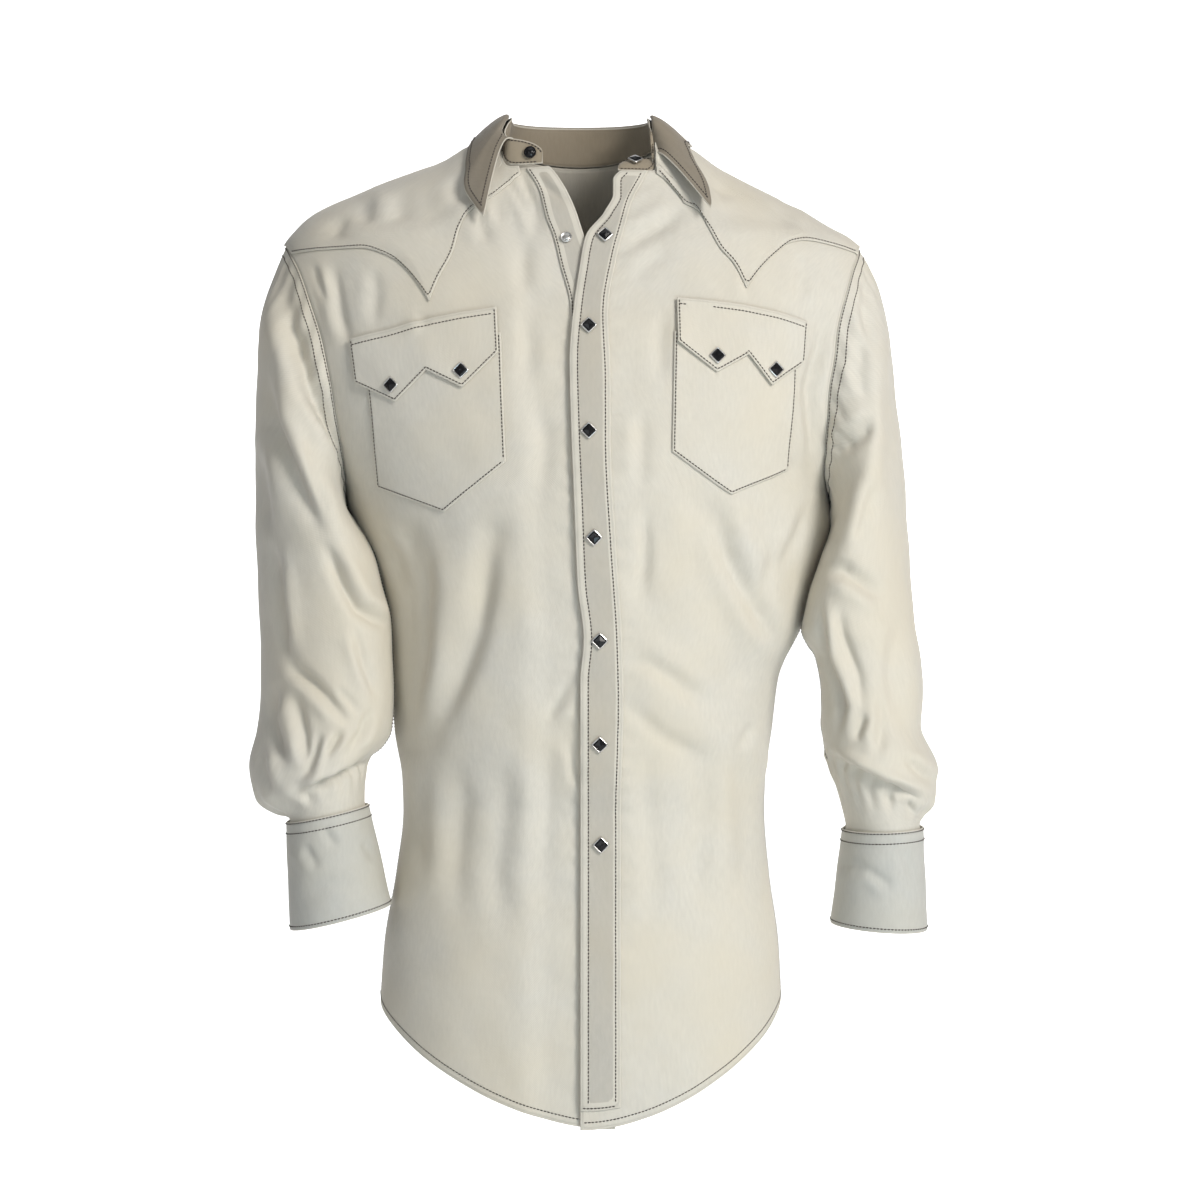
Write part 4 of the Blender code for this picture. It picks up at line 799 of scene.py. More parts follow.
def front_place(side, rows, across):
    """Angle and height on a front: rows 0 to 24 down it, across 0 at its edge to 1 outside."""
    edges = (lambda row: front_edge(side, row), lambda row: side_edge(side, False, row))
    return panel_place(edges, -360 if side > 0 else 0,
                       lambda part: (1 - part) ** 2 * (1 + 2 * part), 4, rows, across)


def right_side_of_back(rows):
    angles, heights = side_edge(-1, True, rows)
    return angles + 360, heights


def back_place(rows, across):
    """Angle and height on the back, across 0 at the left side to 1 at the right."""
    edges = (lambda row: side_edge(1, True, row), right_side_of_back)
    return panel_place(edges, -360, lambda part: np.sin(np.pi * part) ** 2, 5, rows, across)


def panel_rows(step):
    """Rows down a body panel, about step apart, with the ends of the armhole among them."""
    heights = np.array([-5, -20, -38, -56, -73] + list(np.linspace(-76, -283, 11))[1:]
                       + BELOW_ARMHOLE + [-750], float)
    parts = [np.linspace(0, 4, int(90 / step)), np.linspace(4, 14, int(230 / step))[1:]]
    count = int((heights[14] - heights[-1]) / step)
    even = np.linspace(heights[14], heights[-1], count)
    parts.append(np.interp(-even, -heights, np.arange(len(heights)))[1:])
    return np.concatenate(parts)


def halved(low, high, steps, is_before):
    """Where is_before turns false between low and high, by halving the way between them."""
    for _ in range(steps):
        middle = (low + high) / 2
        before = is_before(middle)
        low = np.where(before, middle, low)
        high = np.where(before, high, middle)
    return low


def row_at_height(place, like, height):
    """The row where a panel, as a function of the row, passes a height."""
    return halved(np.zeros_like(like), np.full_like(like, LAST_ROW - 0.01), 26,
                  lambda rows: place(rows)[1] > height)


def find_on_front(side, angle, height):
    """Row and width where a front passes an angle and a height."""
    def width(rows):
        inner = front_edge(side, rows)[0]
        outer = side_edge(side, False, rows)[0]
        return np.clip((angle - inner) / (outer - inner), 0, 1)

    row = row_at_height(lambda rows: front_place(side, rows, width(rows)), angle, height)
    return row, width(row)


def front_sink(side, angle, height):
    """How far the right front lies below the left one, with its band between them."""
    if side > 0:
        return 0 * angle
    x = body_point(angle, height)[..., 0]
    seam = column(UNDER_SEAM, "x", height, "height")
    return 2 * LAYER * ease((x - seam + UNDER_MARGIN + UNDER_RAMP) / UNDER_RAMP)


def curve_points(points, count):
    """Points of an outline, resampled on a smooth curve through them."""
    order = np.arange(len(points))
    at = np.linspace(0, len(points) - 1, count)
    return smooth(order, [p.x for p in points], at), smooth(order, [p.height for p in points], at)


def straight(points, steps):
    """Points resampled along straight lines, with steps between each pair."""
    pairs = np.array(points, float)
    parts = [pairs[:1]]
    for start, end in zip(pairs[:-1], pairs[1:]):
        t = np.linspace(0, 1, steps + 1)[1:, None]
        parts.append(start * (1 - t) + end * t)
    return np.concatenate(parts)


def between(upper, lower, rows):
    """Rows of points from one edge to another."""
    t = np.linspace(0, 1, rows)[:, None, None]
    return upper[None] * (1 - t) + lower[None] * t


def grid_normals(grid, closed):
    """Normals of a grid of points, from its own rows and columns."""
    down = np.gradient(grid, axis=0)
    if closed:
        across = (np.roll(grid, -1, axis=1) - np.roll(grid, 1, axis=1)) / 2
    else:
        across = np.gradient(grid, axis=1)
    normal = np.cross(down, across)
    return normal / np.maximum(np.linalg.norm(normal, axis=-1, keepdims=True), 1e-9)


def put_in_scene(name, data):
    made = bpy.data.objects.new(name, data)
    bpy.context.scene.collection.objects.link(made)
    return made


def add_piece(name, mesh, material, slot, *nodes):
    """Links a finished mesh, which rides on the shirt and stands for its CAD nodes."""
    mesh.materials.append(material)
    piece = put_in_scene(name, mesh)
    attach(piece, "root")
    if nodes:
        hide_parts(*nodes)
    return piece


def fill_mesh(name, points, quads):
    """A mesh from an array of points and an array of four-sided faces."""
    mesh = bpy.data.meshes.new(name)
    mesh.vertices.add(len(points))
    mesh.vertices.foreach_set("co", points.astype(np.float32).ravel())
    mesh.loops.add(quads.size)
    mesh.loops.foreach_set("vertex_index", quads.astype(np.int32).ravel())
    mesh.polygons.add(len(quads))
    mesh.polygons.foreach_set("loop_start", np.arange(0, quads.size, 4, dtype=np.int32))
    mesh.update(calc_edges=True)
    mesh.validate()
    mesh.shade_smooth()
    return mesh


def turn_edge(outer, inner, axis, at_end):
    """Adds a line of points just inside one cut edge, and draws the edge in by part of the
    wall, so that the edge of the cloth turns over softly."""
    outer = np.moveaxis(outer, axis, 0)
    inner = np.moveaxis(inner, axis, 0)
    if at_end:
        outer = outer[::-1]
        inner = inner[::-1]
    step = np.linalg.norm(outer[1] - outer[0], axis=-1, keepdims=True)
    part = np.clip(EDGE_TURN / np.maximum(step, 1e-6), 0, 0.4)
    drawn = EDGE_DRAWN * (inner[0] - outer[0])
    outer, inner = (
        np.concatenate([[grid[0] + shift], [grid[0] + (grid[1] - grid[0]) * part], grid[1:]])
        for grid, shift in ((outer, drawn), (inner, -drawn)))
    if at_end:
        outer = outer[::-1]
        inner = inner[::-1]
    return np.moveaxis(outer, 0, axis), np.moveaxis(inner, 0, axis)


def wall_quads(rows, columns, closed):
    """Faces of a wall between two grids, and of the rims round its edges."""
    count = rows * columns
    index = np.arange(count).reshape(rows, columns)
    a, b, c, d = index[:-1, :-1], index[:-1, 1:], index[1:, 1:], index[1:, :-1]
    faces = [np.stack([a, b, c, d], axis=-1), np.stack([a, d, c, b], axis=-1) + count]
    rims = [(index[0, 1:], index[0, :-1]), (index[-1, :-1], index[-1, 1:])]
    if not closed:
        rims += [(index[:-1, 0], index[1:, 0]), (index[1:, -1], index[:-1, -1])]
    faces += [np.stack([one, two, two + count, one + count], axis=-1) for one, two in rims]
    return np.concatenate([face.reshape(-1, 4) for face in faces])


def distances(grid, axis):
    """How far each point of a grid lies along its row or column."""
    first = np.take(grid, [0], axis=axis)
    return np.linalg.norm(np.diff(grid, axis=axis, prepend=first), axis=-1).cumsum(axis=axis)


def joined_up(rows, columns, quads):
    """The faces of a tube whose grid's last column is its first one again."""
    index = np.arange(rows * columns).reshape(rows, columns)
    place = (index // columns * (columns - 1) + index % columns % (columns - 1)).ravel()
    return np.concatenate([place, place + rows * (columns - 1)])[quads]


def add_cloth(node, outer, inner, finish, seams=(), closed=False):
    """A sheet of cloth and its stitching: two grids of points joined into one thin closed shell,
    with a UV map in metres along the cloth and an attribute with each point's distance from
    its cut edge."""
    lines = [seam_line(outer, inner, seam) for seam in seams]
    for axis in ((0,) if closed else (0, 1)):
        for at_end in (False, True):
            outer, inner = turn_edge(outer, inner, axis, at_end)
    if closed:
        outer = np.concatenate([outer, outer[:, :1]], axis=1)
        inner = np.concatenate([inner, inner[:, :1]], axis=1)
    rows, columns = outer.shape[:2]
    quads = wall_quads(rows, columns, closed)
    if np.sum(grid_normals(outer, False) * (outer - inner)) > 0:
        quads = quads[:, ::-1]
    across = distances(outer, 1)
    down = distances(outer, 0)
    middle = columns // 2
    u = across - across[:, middle:middle + 1]
    v = np.repeat(down[:, middle:middle + 1], columns, axis=1)
    uv = np.stack([u, -v], axis=-1).reshape(-1, 2) * MM
    loop_uv = uv[quads.ravel() % (rows * columns)]
    edge = np.minimum(down, down[-1:] - down)
    if closed:
        quads = joined_up(rows, columns, quads)
        edge, outer, inner = edge[:, :-1], outer[:, :-1], inner[:, :-1]
    else:
        edge = np.minimum(edge, np.minimum(across, across[:, -1:] - across))
    edge = np.minimum(edge, EDGE_REACH).ravel()
    name = f"{node}_cloth"
    points = np.concatenate([outer.reshape(-1, 3), inner.reshape(-1, 3)]) * MM
    mesh = fill_mesh(name, points, quads)
    layer = mesh.uv_layers.new(name="cloth")
    layer.data.foreach_set("uv", loop_uv.astype(np.float32).ravel())
    near = mesh.attributes.new("from_edge", "FLOAT", "POINT")
    near.data.foreach_set("value", np.concatenate([edge, edge]).astype(np.float32))
    piece = add_piece(name, mesh, get_material(finish), CLOTHS[finish].slot, node)
    if lines:
        add_stitches(node, lines)


def line_from_edge(lines, away):
    """A line at a distance from the edge where a grid's lines start.  Each line is walked away
    from the edge, further where it leaves the edge at a slant: away / sin(angle)."""
    along = unit(np.diff(lines[:, 0, :3], axis=0))
    heading = unit(lines[:, 1, :3] - lines[:, 0, :3])
    before = np.linalg.norm(np.cross(heading, np.concatenate([along[:1], along])), axis=-1)
    after = np.linalg.norm(np.cross(heading, np.concatenate([along, along[-1:]])), axis=-1)
    walk = away / np.clip(np.minimum(before, after), 0.3, 1)
    step = np.linalg.norm(np.diff(lines[..., :3], axis=1), axis=-1)
    gone = np.concatenate([np.zeros((len(lines), 1)), step.cumsum(axis=1)], axis=1)
    at = np.clip((gone < walk[:, None]).sum(axis=1), 1, lines.shape[1] - 1)
    place = np.arange(len(lines))
    part = (walk - gone[place, at - 1]) / (gone[place, at] - gone[place, at - 1])
    return lines[place, at - 1] * (1 - part[:, None]) + lines[place, at] * part[:, None]


def seam_line(outer, inner, seam, closed=False):
    """Points and outward directions of a line of stitching inside one edge of a piece."""
    both = np.concatenate([outer, unit(outer - inner)], axis=-1)
    if closed:
        both = np.concatenate([both, both[:, :1]], axis=1)
    lines = both if seam.edge in ("start", "end") else np.swapaxes(both, 0, 1)
    if seam.edge in ("end", "foot"):
        lines = lines[:, ::-1]
    line = line_from_edge(lines, seam.away)
    step = np.linalg.norm(np.diff(line[:, :3], axis=0), axis=-1)
    gone = np.concatenate([[0], step.cumsum()])
    first = seam.from_start if seam.from_start >= 0 else gone[-1] + seam.from_start
    last = gone[-1] - seam.from_end if seam.from_end >= 0 else -seam.from_end
    at = np.linspace(first, last, 4 * len(line))
    return np.stack([np.interp(at, gone, line[:, k]) for k in range(6)], axis=-1)


def stitch_points(line):
    """Corners of all the stitches along a line: each is a short four-sided spindle with three
    sections, whose two ends dip into the cloth."""
    sizes = bpy.context.scene.shirt_sizes
    length = sizes.stitch / MM
    pitch = length + sizes.stitch_gap / MM
    radius = sizes.thread / MM / 2
    step = np.linalg.norm(np.diff(line[:, :3], axis=0), axis=-1)
    gone = np.concatenate([[0], step.cumsum()])
    starts = np.arange(int(gone[-1] / pitch)) * pitch
    at = starts[:, None] + length * np.array([0.0, 0.5, 1.0])
    read = np.stack([np.interp(at, gone, line[:, k]) for k in range(6)], axis=-1)
    centre = read[..., :3]
    normal = unit(read[..., 3:])
    across = unit(np.cross(normal, centre[:, 2:] - centre[:, :1]))
    width = radius * np.array([0.6, 1.0, 0.6])[:, None]
    lift = radius * np.array([-0.3, 0.7, -0.3])[:, None]
    middle = centre + normal * lift
    corners = [middle + across * width, middle + normal * width,
               middle - across * width, middle - normal * width]
    return np.stack(corners, axis=2).reshape(-1, 3)


def add_stitches(node, lines):
    """All the stitching of one piece, as one mesh of separate closed stitches."""
    points = np.concatenate([stitch_points(line) for line in lines])
    ring = np.arange(4)
    turned = (ring + 1) % 4
    sides = [np.stack([ring + 4 * k, turned + 4 * k, turned + 4 * k + 4, ring + 4 * k + 4], axis=-1)
             for k in range(2)]
    one = np.concatenate(sides + [[[3, 2, 1, 0], [8, 9, 10, 11]]])
    quads = (one[None] + 12 * np.arange(len(points) // 12)[:, None, None]).reshape(-1, 4)
    mesh = fill_mesh(f"{node}_stitches", points * MM, quads)
    add_piece(mesh.name, mesh, get_material("shirt_thread"), None)


def cloth_wall():
    return bpy.context.scene.shirt_sizes.wall / MM


def add_on_body(node, angles, heights, out, finish, seams):
    """A piece of cloth on the body and its stitching, its outer face out from the folded body."""
    add_cloth(node, on_body(angles, heights, out), on_body(angles, heights, out - cloth_wall()),
              finish, seams)


def yoke_grid(side):
    """A front yoke's angles and heights: each column runs from the neck or shoulder down the
    panel to one point of the yoke's traced line, so both its corners stay sharp.  Each column
    lies a little further out than the last, and those near the point fan in to the neck, so no
    two of them cross."""
    inner, outer = (np.stack(curve_points(points, count), axis=-1) for points, count
                    in zip(YOKE_RIGHT if side < 0 else YOKE_LEFT, YOKE_COLUMNS))
    line = np.concatenate([inner, outer[1:]])
    lowest, widths = find_on_front(side, angle_at_x(line[:, 0], line[:, 1]), line[:, 1])
    least = COLUMN_STEP * np.arange(len(widths))
    widths = np.maximum.accumulate(widths - least) + least
    from_tip = np.concatenate([np.linspace(-1, 0, len(inner)),
                               np.linspace(0, 1, len(outer))[1:]])
    top = widths - COLUMN_FAN * np.exp(-(from_tip / 0.44) ** 2)
    down = np.linspace(0, 1, YOKE_ROWS)[:, None]
    rows = down * np.maximum(lowest, 0.06)
    across = top * (1 - down) + widths * down
    across = across * (1 - YOKE_INSET * ease(rows - SHOULDER_STEPS + 0.8))
    return front_place(side, rows, across)


def yoke_lift(count):
    """How far out a yoke lies in each of its rows: less where its lower edge is sewn down."""
    down = np.linspace(0, 1, count)[:, None]
    return LAYER + YOKE_LIFT - (YOKE_LIFT + 0.2) * ease((down - 0.72) / 0.28)


def back_yoke_grid():
    """The back yoke's angles and heights, down to one soft point at the middle."""
    columns = np.linspace(0, 1, BACK_YOKE_GRID[0])
    near = np.abs(2 * columns - 1) ** 1.6
    height = BACK_YOKE_POINT * (1 - near) + BACK_YOKE_SIDE * near
    lower = row_at_height(lambda rows: back_place(rows, columns), columns, height)
    rows = np.linspace(0, 1, BACK_YOKE_GRID[1])[:, None] * lower
    across = 0.5 + (columns - 0.5) * (1 - 2 * YOKE_INSET * ease(rows - SHOULDER_STEPS + 0.8))
    return back_place(rows, across)


def band_grid(side, rows, columns):
    """A band down a front, from its edge to the band's seam."""
    table = PLACKET_SEAM if side > 0 else UNDER_SEAM

    def within(part):
        angles, heights = front_place(side, rows, part)
        x = body_point(angles, heights)[..., 0]
        return side * (x - column(table, "x", heights, "height")) < 0

    width = halved(np.zeros_like(rows), np.full_like(rows, 0.6), 22, within)
    return front_place(side, rows[:, None], width[:, None] * columns)


def patch_grid(outline, steps, rows):
    """A piece laid on a front: straight edges between its corners."""
    grid = between(straight(outline[0], steps), straight(outline[1], steps), rows)
    return angle_at_x(grid[..., 0], grid[..., 1]), grid[..., 1]


def ring_grid(table, stops, turns, side):
    """Sections of a sleeve or cuff: an ellipse between the two ends of each ring."""
    order = np.arange(len(table))
    read = {name: smooth(order, [getattr(row, name) for row in table], stops)
            for name in Ring._fields}
    inner = np.stack([side * read["in_x"], read["in_y"], read["in_z"]], axis=-1)
    outer = np.stack([side * read["out_x"], read["out_y"], read["out_z"]], axis=-1)
    middle = (inner + outer) / 2
    half = (outer - inner) / 2
    forward = np.stack([0 * stops, -read["depth"], 0 * stops], axis=-1)
    cosine = np.cos(np.radians(turns))[None, :, None]
    sine = np.sin(np.radians(turns))[None, :, None]
    return middle[:, None] + half[:, None] * cosine + forward[:, None] * sine


def beside_armhole(side, turns, beyond, out):
    """Points beside the set-in line at each turn of the sleeve."""
    in_front = turns <= 180
    turn = np.where(in_front, 90 - turns, turns - 270)
    front_a, height = armhole_point(turn, side, False, beyond)
    back_a, _ = armhole_point(turn, side, True, beyond)
    return on_body(np.where(in_front, front_a, back_a), height, out + 0 * height)


def armhole_ring(side, turns):
    """The set-in line at each turn of the sleeve, just clear of the panels' edges."""
    points = beside_armhole(side, turns, 0.0, 0.0)
    toward = points.mean(axis=0) - points
    toward[:, 0] = 0
    toward = unit(toward)
    return points + SEAM_GAP * (toward + np.array([side, 0, 0]))


def sleeve_rings(side):
    """A sleeve's table with two more sections, where its end is held inside the cuff."""
    table = SLEEVE_RIGHT if side < 0 else SLEEVE_LEFT
    cuff = CUFF_RIGHT if side < 0 else CUFF_LEFT
    rings = list(table)
    for below in (-CUFF_TUCK / 2, CUFF_TUCK):
        part = below / (cuff[0].out_z - cuff[1].out_z)
        ring = Ring(*[a + (b - a) * part for a, b in zip(*cuff)])
        rings.append(ring._replace(in_x=ring.in_x + CUFF_INSET, out_x=ring.out_x - CUFF_INSET,
                                   depth=ring.depth - CUFF_INSET))
    return rings


def sleeve_surface(side, stops, turns):
    """A sleeve's plain outer face, from the set-in line through its sections."""
    fine_turns = np.linspace(0, 360, 361)[:-1]
    grid = ring_grid(sleeve_rings(side), stops, turns, side)
    ring = armhole_ring(side, fine_turns)
    start = np.stack([np.interp(turns % 360, fine_turns, ring[:, k], period=360)
                      for k in range(3)], axis=-1)
    weight = 1 - ease(stops / SLEEVE_BLEND_RINGS)
    return grid + (start - grid[0])[None] * weight[:, None, None]


def sleeve_relief(side, plain, stops, turns):
    """Creases and waves of a sleeve, none at the armhole and little inside the cuff."""
    strength = bpy.context.scene.shirt_sizes.crease_strength
    u, v = on_drawing(plain)
    sine = np.sin(np.radians(turns))[None]
    in_front = ease(sine / 0.3)
    behind = ease(-sine / 0.3)
    table = SLEEVE_RIGHT_CREASES if side < 0 else SLEEVE_LEFT_CREASES
    other = SLEEVE_LEFT_CREASES if side < 0 else SLEEVE_RIGHT_CREASES
    mirrored = DRAWING_SIZE - 2 * DRAWING_X / DRAWING_UNIT - u
    front = SLEEVE_CREASE_DEPTH * crease_relief(table, u, v)
    back = SLEEVE_CREASE_DEPTH * crease_relief(other, mirrored, v)
    both = front * in_front + back * behind + soft_waves(u, v, 3 + side)
    held = ease(stops / 0.8) * (1 - ease((stops - 12.6) / 0.9))
    turn = np.radians(turns)[None]
    sewn = ease(stops / 0.35) * (1 - ease((stops - 0.8) / 1.2))
    gathered = ease((stops - 11.2) / 1.2) * (1 - ease((stops - 13.1) / 0.5))
    puckers = np.sin(31 * turn + 2.2 * np.sin(3 * turn)) * sewn[:, None] * 0.5
    gathers = np.sin(17 * turn + 1.7 * np.sin(2 * turn + 1)) * gathered[:, None] * 0.8
    return strength * (both * held[:, None] + puckers + gathers)


def sleeve_face(side, stops, turns):
    """The creased outer face of a sleeve and its outward normals."""
    plain = sleeve_surface(side, stops, turns)
    normals = grid_normals(plain, closed=len(turns) > 20) * -side
    relief = sleeve_relief(side, plain, stops, turns)
    return plain + normals * relief[..., None], normals


def cuff_face(side, columns, rows):
    """A cuff's outer face: a strip round the wrist whose end laps over its start."""
    table = CUFF_RIGHT if side < 0 else CUFF_LEFT
    turns = np.linspace(CUFF_LAP_START, CUFF_LAP_START - 360 - CUFF_LAP, columns)
    stops = np.linspace(0, 1, rows)
    grid = ring_grid(table, stops, turns, side)
    middle = ring_grid(table, stops, np.linspace(0, 360, 61)[:-1], side).mean(axis=1)
    outward = unit(grid - middle[:, None])
    lapped = ease((np.linspace(0, 1, columns) - 0.83) / 0.08)
    plain = grid + outward * (lapped * (LAYER + 0.3))[None, :, None]
    u, v = on_drawing(plain)
    table = CUFF_RIGHT_CREASES if side < 0 else CUFF_LEFT_CREASES
    in_front = ease(np.sin(np.radians(turns)) / 0.3)
    relief = crease_relief(table, u, v) * in_front + 0.6 * soft_waves(u, v, 5 + side)
    relief = relief * ease(stops / 0.14)[:, None]
    strength = bpy.context.scene.shirt_sizes.crease_strength
    return plain + outward * (strength * relief)[..., None]


def stand_edges(angles):
    """Foot and top of the collar stand at each angle round the neck."""
    heights = neck_height(angles) + SEAM_GAP
    foot = body_point(angles, heights - SEAM_GAP)
    inward = foot * np.array([-1.0, -1.0, 0.0])
    foot = foot + unit(inward) * STAND_INSET
    foot[:, 2] = heights
    from_end = np.minimum((angles - STAND_FIRST) / STAND_ROUND,
                          (STAND_LAST - angles) / STAND_ROUND_RIGHT)
    rounded = np.sqrt(1 - (1 - np.clip(from_end, 0, 1)) ** 2)
    rounded = STAND_END + (1 - STAND_END) * rounded
    rise = column(NECKLINE, "stand", angles, "angle") * rounded
    facing = np.cos(np.radians(angles))
    lean = np.where(facing > 0, 1 - (1 - STAND_LEAN) * (1 - facing), STAND_LEAN)
    top = foot * lean[:, None]
    top[:, 1] += column(NECKLINE, "lean", angles, "angle") * rounded
    top[:, 2] = heights + rise
    return foot, top


def stand_face(angles, rows):
    """The stand's outer face, whose open end at the left front curls back at its top."""
    foot, top = stand_edges(angles)
    grid = between(foot, top, rows)
    height = np.linspace(0, 1, rows)[:, None]
    curled = ease((angles - CURL_ANGLE) / -14)[None]
    grid[..., 1] += COLLAR_CURL * curled * height ** 2
    grid[..., 2] -= 0.35 * COLLAR_CURL * curled * height ** 3
    return grid


def fall_face(columns, rows):
    """The collar's fall: from the stand's top it rolls up and over, then down to its edge,
    p = a(1-t)^3 + 3bt(1-t)^2 + 3ct^2(1-t) + dt^3."""
    order = np.arange(len(COLLAR_FALL))
    at = np.linspace(0, len(COLLAR_FALL) - 1, columns)
    read = {name: smooth(order, [getattr(row, name) for row in COLLAR_FALL], at)
            for name in FallPoint._fields}
    start = stand_face(read["stand_angle"], 5)[-1]
    outward = unit(start * np.array([1.0, 1.0, 0.0]))
    up = np.array([0.0, 0.0, 1.0])
    roll = read["roll"][:, None]
    start = start + outward * 1.7 + up * 0.5
    rise = start + outward * 0.8 + up * (roll * 0.5 + 1.0)
    bend = start + outward * (roll + 1.5) + up * roll * 0.5
    end = body_point(read["angle"], read["height"])
    end = end + body_normal(read["angle"], read["height"]) * read["lift"][:, None]
    t = np.linspace(0, 1, rows)[:, None, None]
    grid = (start * (1 - t) ** 3 + rise * 3 * t * (1 - t) ** 2
            + bend * 3 * t ** 2 * (1 - t) + end * t ** 3)
    part = np.linspace(0, 1, columns)[None, :, None]
    bow = 4 * t * (1 - t)
    grid += bow * (1 - ease(part / FALL_BOW_PART)) * np.array(FALL_BOW_RIGHT)
    grid += bow * (1 - ease((1 - part) / FALL_BOW_PART)) * np.array(FALL_BOW_LEFT)
    wave = np.sin(23 * part) + 0.6 * np.sin(57 * part + 1.0)
    return grid + 0.5 * wave * t * body_normal(read["angle"], read["height"])


def carried_round(profile, outline):
    """A closed solid: an outline round the axis, at the scale and height of each point of a
    profile."""
    profile = np.array(profile, float)
    count = len(outline)
    shape = (len(profile), count, 1)
    points = np.concatenate([profile[:, :1, None] * outline,
                             np.broadcast_to(profile[:, 1:, None], shape)], axis=-1)
    ring = np.arange(count)
    after = (ring + 1) % count
    start = count * np.arange(len(profile) - 1)[:, None]
    sides = np.stack([start + ring, start + after, start + after + count,
                      start + ring + count], axis=-1).reshape(-1, 4)
    top = count * (len(profile) - 1) + ring
    return points.reshape(-1, 3), sides.tolist() + [ring[::-1].tolist(), top.tolist()]


def on_circle(turns):
    return np.stack([np.cos(turns), np.sin(turns)], axis=-1)


def bezel_shape():
    """A square snap's turned bezel, on its corner: a profile carried round a rounded square,
    |x|^p + |y|^p = 1."""
    half = bpy.context.scene.shirt_sizes.snap_side / MM / 2
    turns = np.radians(np.arange(0, 360, 7.5))
    reach = (np.abs(np.cos(turns)) ** BEZEL_POWER
             + np.abs(np.sin(turns)) ** BEZEL_POWER) ** (-1 / BEZEL_POWER)
    return carried_round(BEZEL, (half * reach)[:, None] * on_circle(turns + math.pi / 4))


def stone_shape():
    """The stone: squares that shrink as they rise to a point, on flat facets."""
    half = bpy.context.scene.shirt_sizes.snap_side / MM / 2
    return carried_round(STONE, half * math.sqrt(2) * on_circle(np.arange(4) * math.pi / 2))


def round_shape(profile):
    """A turned part."""
    return carried_round(profile, on_circle(np.linspace(0, math.tau, 33)[:-1]))


def standing(point, normal):
    """The turn and place that stand a fastener on a surface, with its +Y upwards."""
    out = Vector(normal).normalized()
    across = Vector((0.0, 0.0, 1.0)).cross(out).normalized()
    above = out.cross(across)
    turn = Matrix((across, above, out)).transposed()
    return np.array(turn), np.array(point)


def add_fasteners(name, places, shape, material, slot, nodes, smooth_shade):
    """Copies of a fastener's shape at several places, as one piece."""
    base, faces = shape
    points = []
    polygons = []
    for turn, place in places:
        start = len(points) * len(base)
        points.append(base @ turn.T + place)
        polygons += [tuple(start + k for k in face) for face in faces]
    mesh = bpy.data.meshes.new(name)
    mesh.from_pydata((np.concatenate(points) * MM).tolist(), [], polygons)
    mesh.update()
    if smooth_shade:
        mesh.shade_smooth()
        mesh.set_sharp_from_angle(angle=math.radians(34))
    add_piece(name, mesh, material, slot, *nodes)


def front_spot(spot, out):
    """A place on the folded front, moved out along its normal."""
    angle = angle_at_x(spot.x, spot.height)
    height = np.float64(spot.height)
    return standing(on_body(angle, height, out), body_normal(angle, height))


def collar_spot(angle, part):
    """A place on the stand's face, at a part of its height."""
    grid = stand_face(angle + np.array([-1.0, 0.0, 1.0]), 21)
    row = int(round(20 * part))
    normal = unit(np.cross(grid[row, 2] - grid[row, 0], grid[row + 1, 1] - grid[row - 1, 1]))
    return standing(grid[row, 1] + normal * COLLAR_SNAP_CLEARANCE, normal)


def cuff_spots(side):
    """The places of the three snaps down a cuff's lapped end."""
    grid = cuff_face(side, *CUFF_SNAP_GRID)
    normals = grid_normals(grid, closed=False)[:, CUFF_SNAP_COLUMN] * side
    points = grid[:, CUFF_SNAP_COLUMN] + normals * SNAP_CLEARANCE
    return [standing(points[row], normals[row]) for row in CUFF_SNAP_ROWS]


# ---------------------------------------------------------------- materials

def fill(tree, socket, value):
    """Sets a socket to a value, or links another node's output to it."""
    if hasattr(value, "is_output"):
        tree.links.new(value, socket)
    else:
        socket.default_value = value


def node(tree, kind, place=(0, 0), inputs=None, **settings):
    """A node with its settings, and its inputs as values or as outputs to link from."""
    made = tree.nodes.new(kind)
    made.location = place
    for key, value in settings.items():
        setattr(made, key, value)
    for key, value in (inputs or {}).items():
        fill(tree, made.inputs[key], value)
    return made


def start_material(name):
    material = bpy.data.materials.new(name)
    material.use_nodes = True
    return material, material.node_tree, material.node_tree.nodes["Principled BSDF"]


def mix_colour(tree, first, second, factor):
    """A mix of two colours; first and second may be a colour or an output."""
    first, second = (value if hasattr(value, "is_output") else (*value[:3], 1.0)
                     for value in (first, second))
    return node(tree, "ShaderNodeMix", inputs={0: factor, 6: first, 7: second},
                data_type="RGBA").outputs[2]


def calculate(tree, operation, first, second=0.0, clamp=False):
    return node(tree, "ShaderNodeMath", inputs={0: first, 1: second}, operation=operation,
                use_clamp=clamp).outputs[0]


def weighted(tree, *terms):
    """The sum of several outputs, each times its weight."""
    total, *others = [calculate(tree, "MULTIPLY", output, weight) for output, weight in terms]
    for part in others:
        total = calculate(tree, "ADD", total, part)
    return total


def noise(tree, vector, scale, detail, place):
    return node(tree, "ShaderNodeTexNoise", place,
                {"Vector": vector, "Scale": scale, "Detail": detail}).outputs["Fac"]


def stretched(tree, vector, scale, place, turn=0.0):
    """Coordinates turned and stretched."""
    return node(tree, "ShaderNodeMapping", place,
                {"Vector": vector, "Rotation": (0, 0, turn), "Scale": scale}).outputs[0]


def ramp(tree, value, start, end, first, last, place):
    """A value carried over from one range to another, and held at its two ends."""
    return node(tree, "ShaderNodeMapRange", place,
                {"Value": value, "From Min": start, "From Max": end, "To Min": first,
                 "To Max": last}).outputs[0]


def shade(colour, factor, more=0.0):
    return tuple(min(1.0, c * factor + more) for c in colour)


def tinted(colour, factors):
    return tuple(c * factor for c, factor in zip(colour, factors))


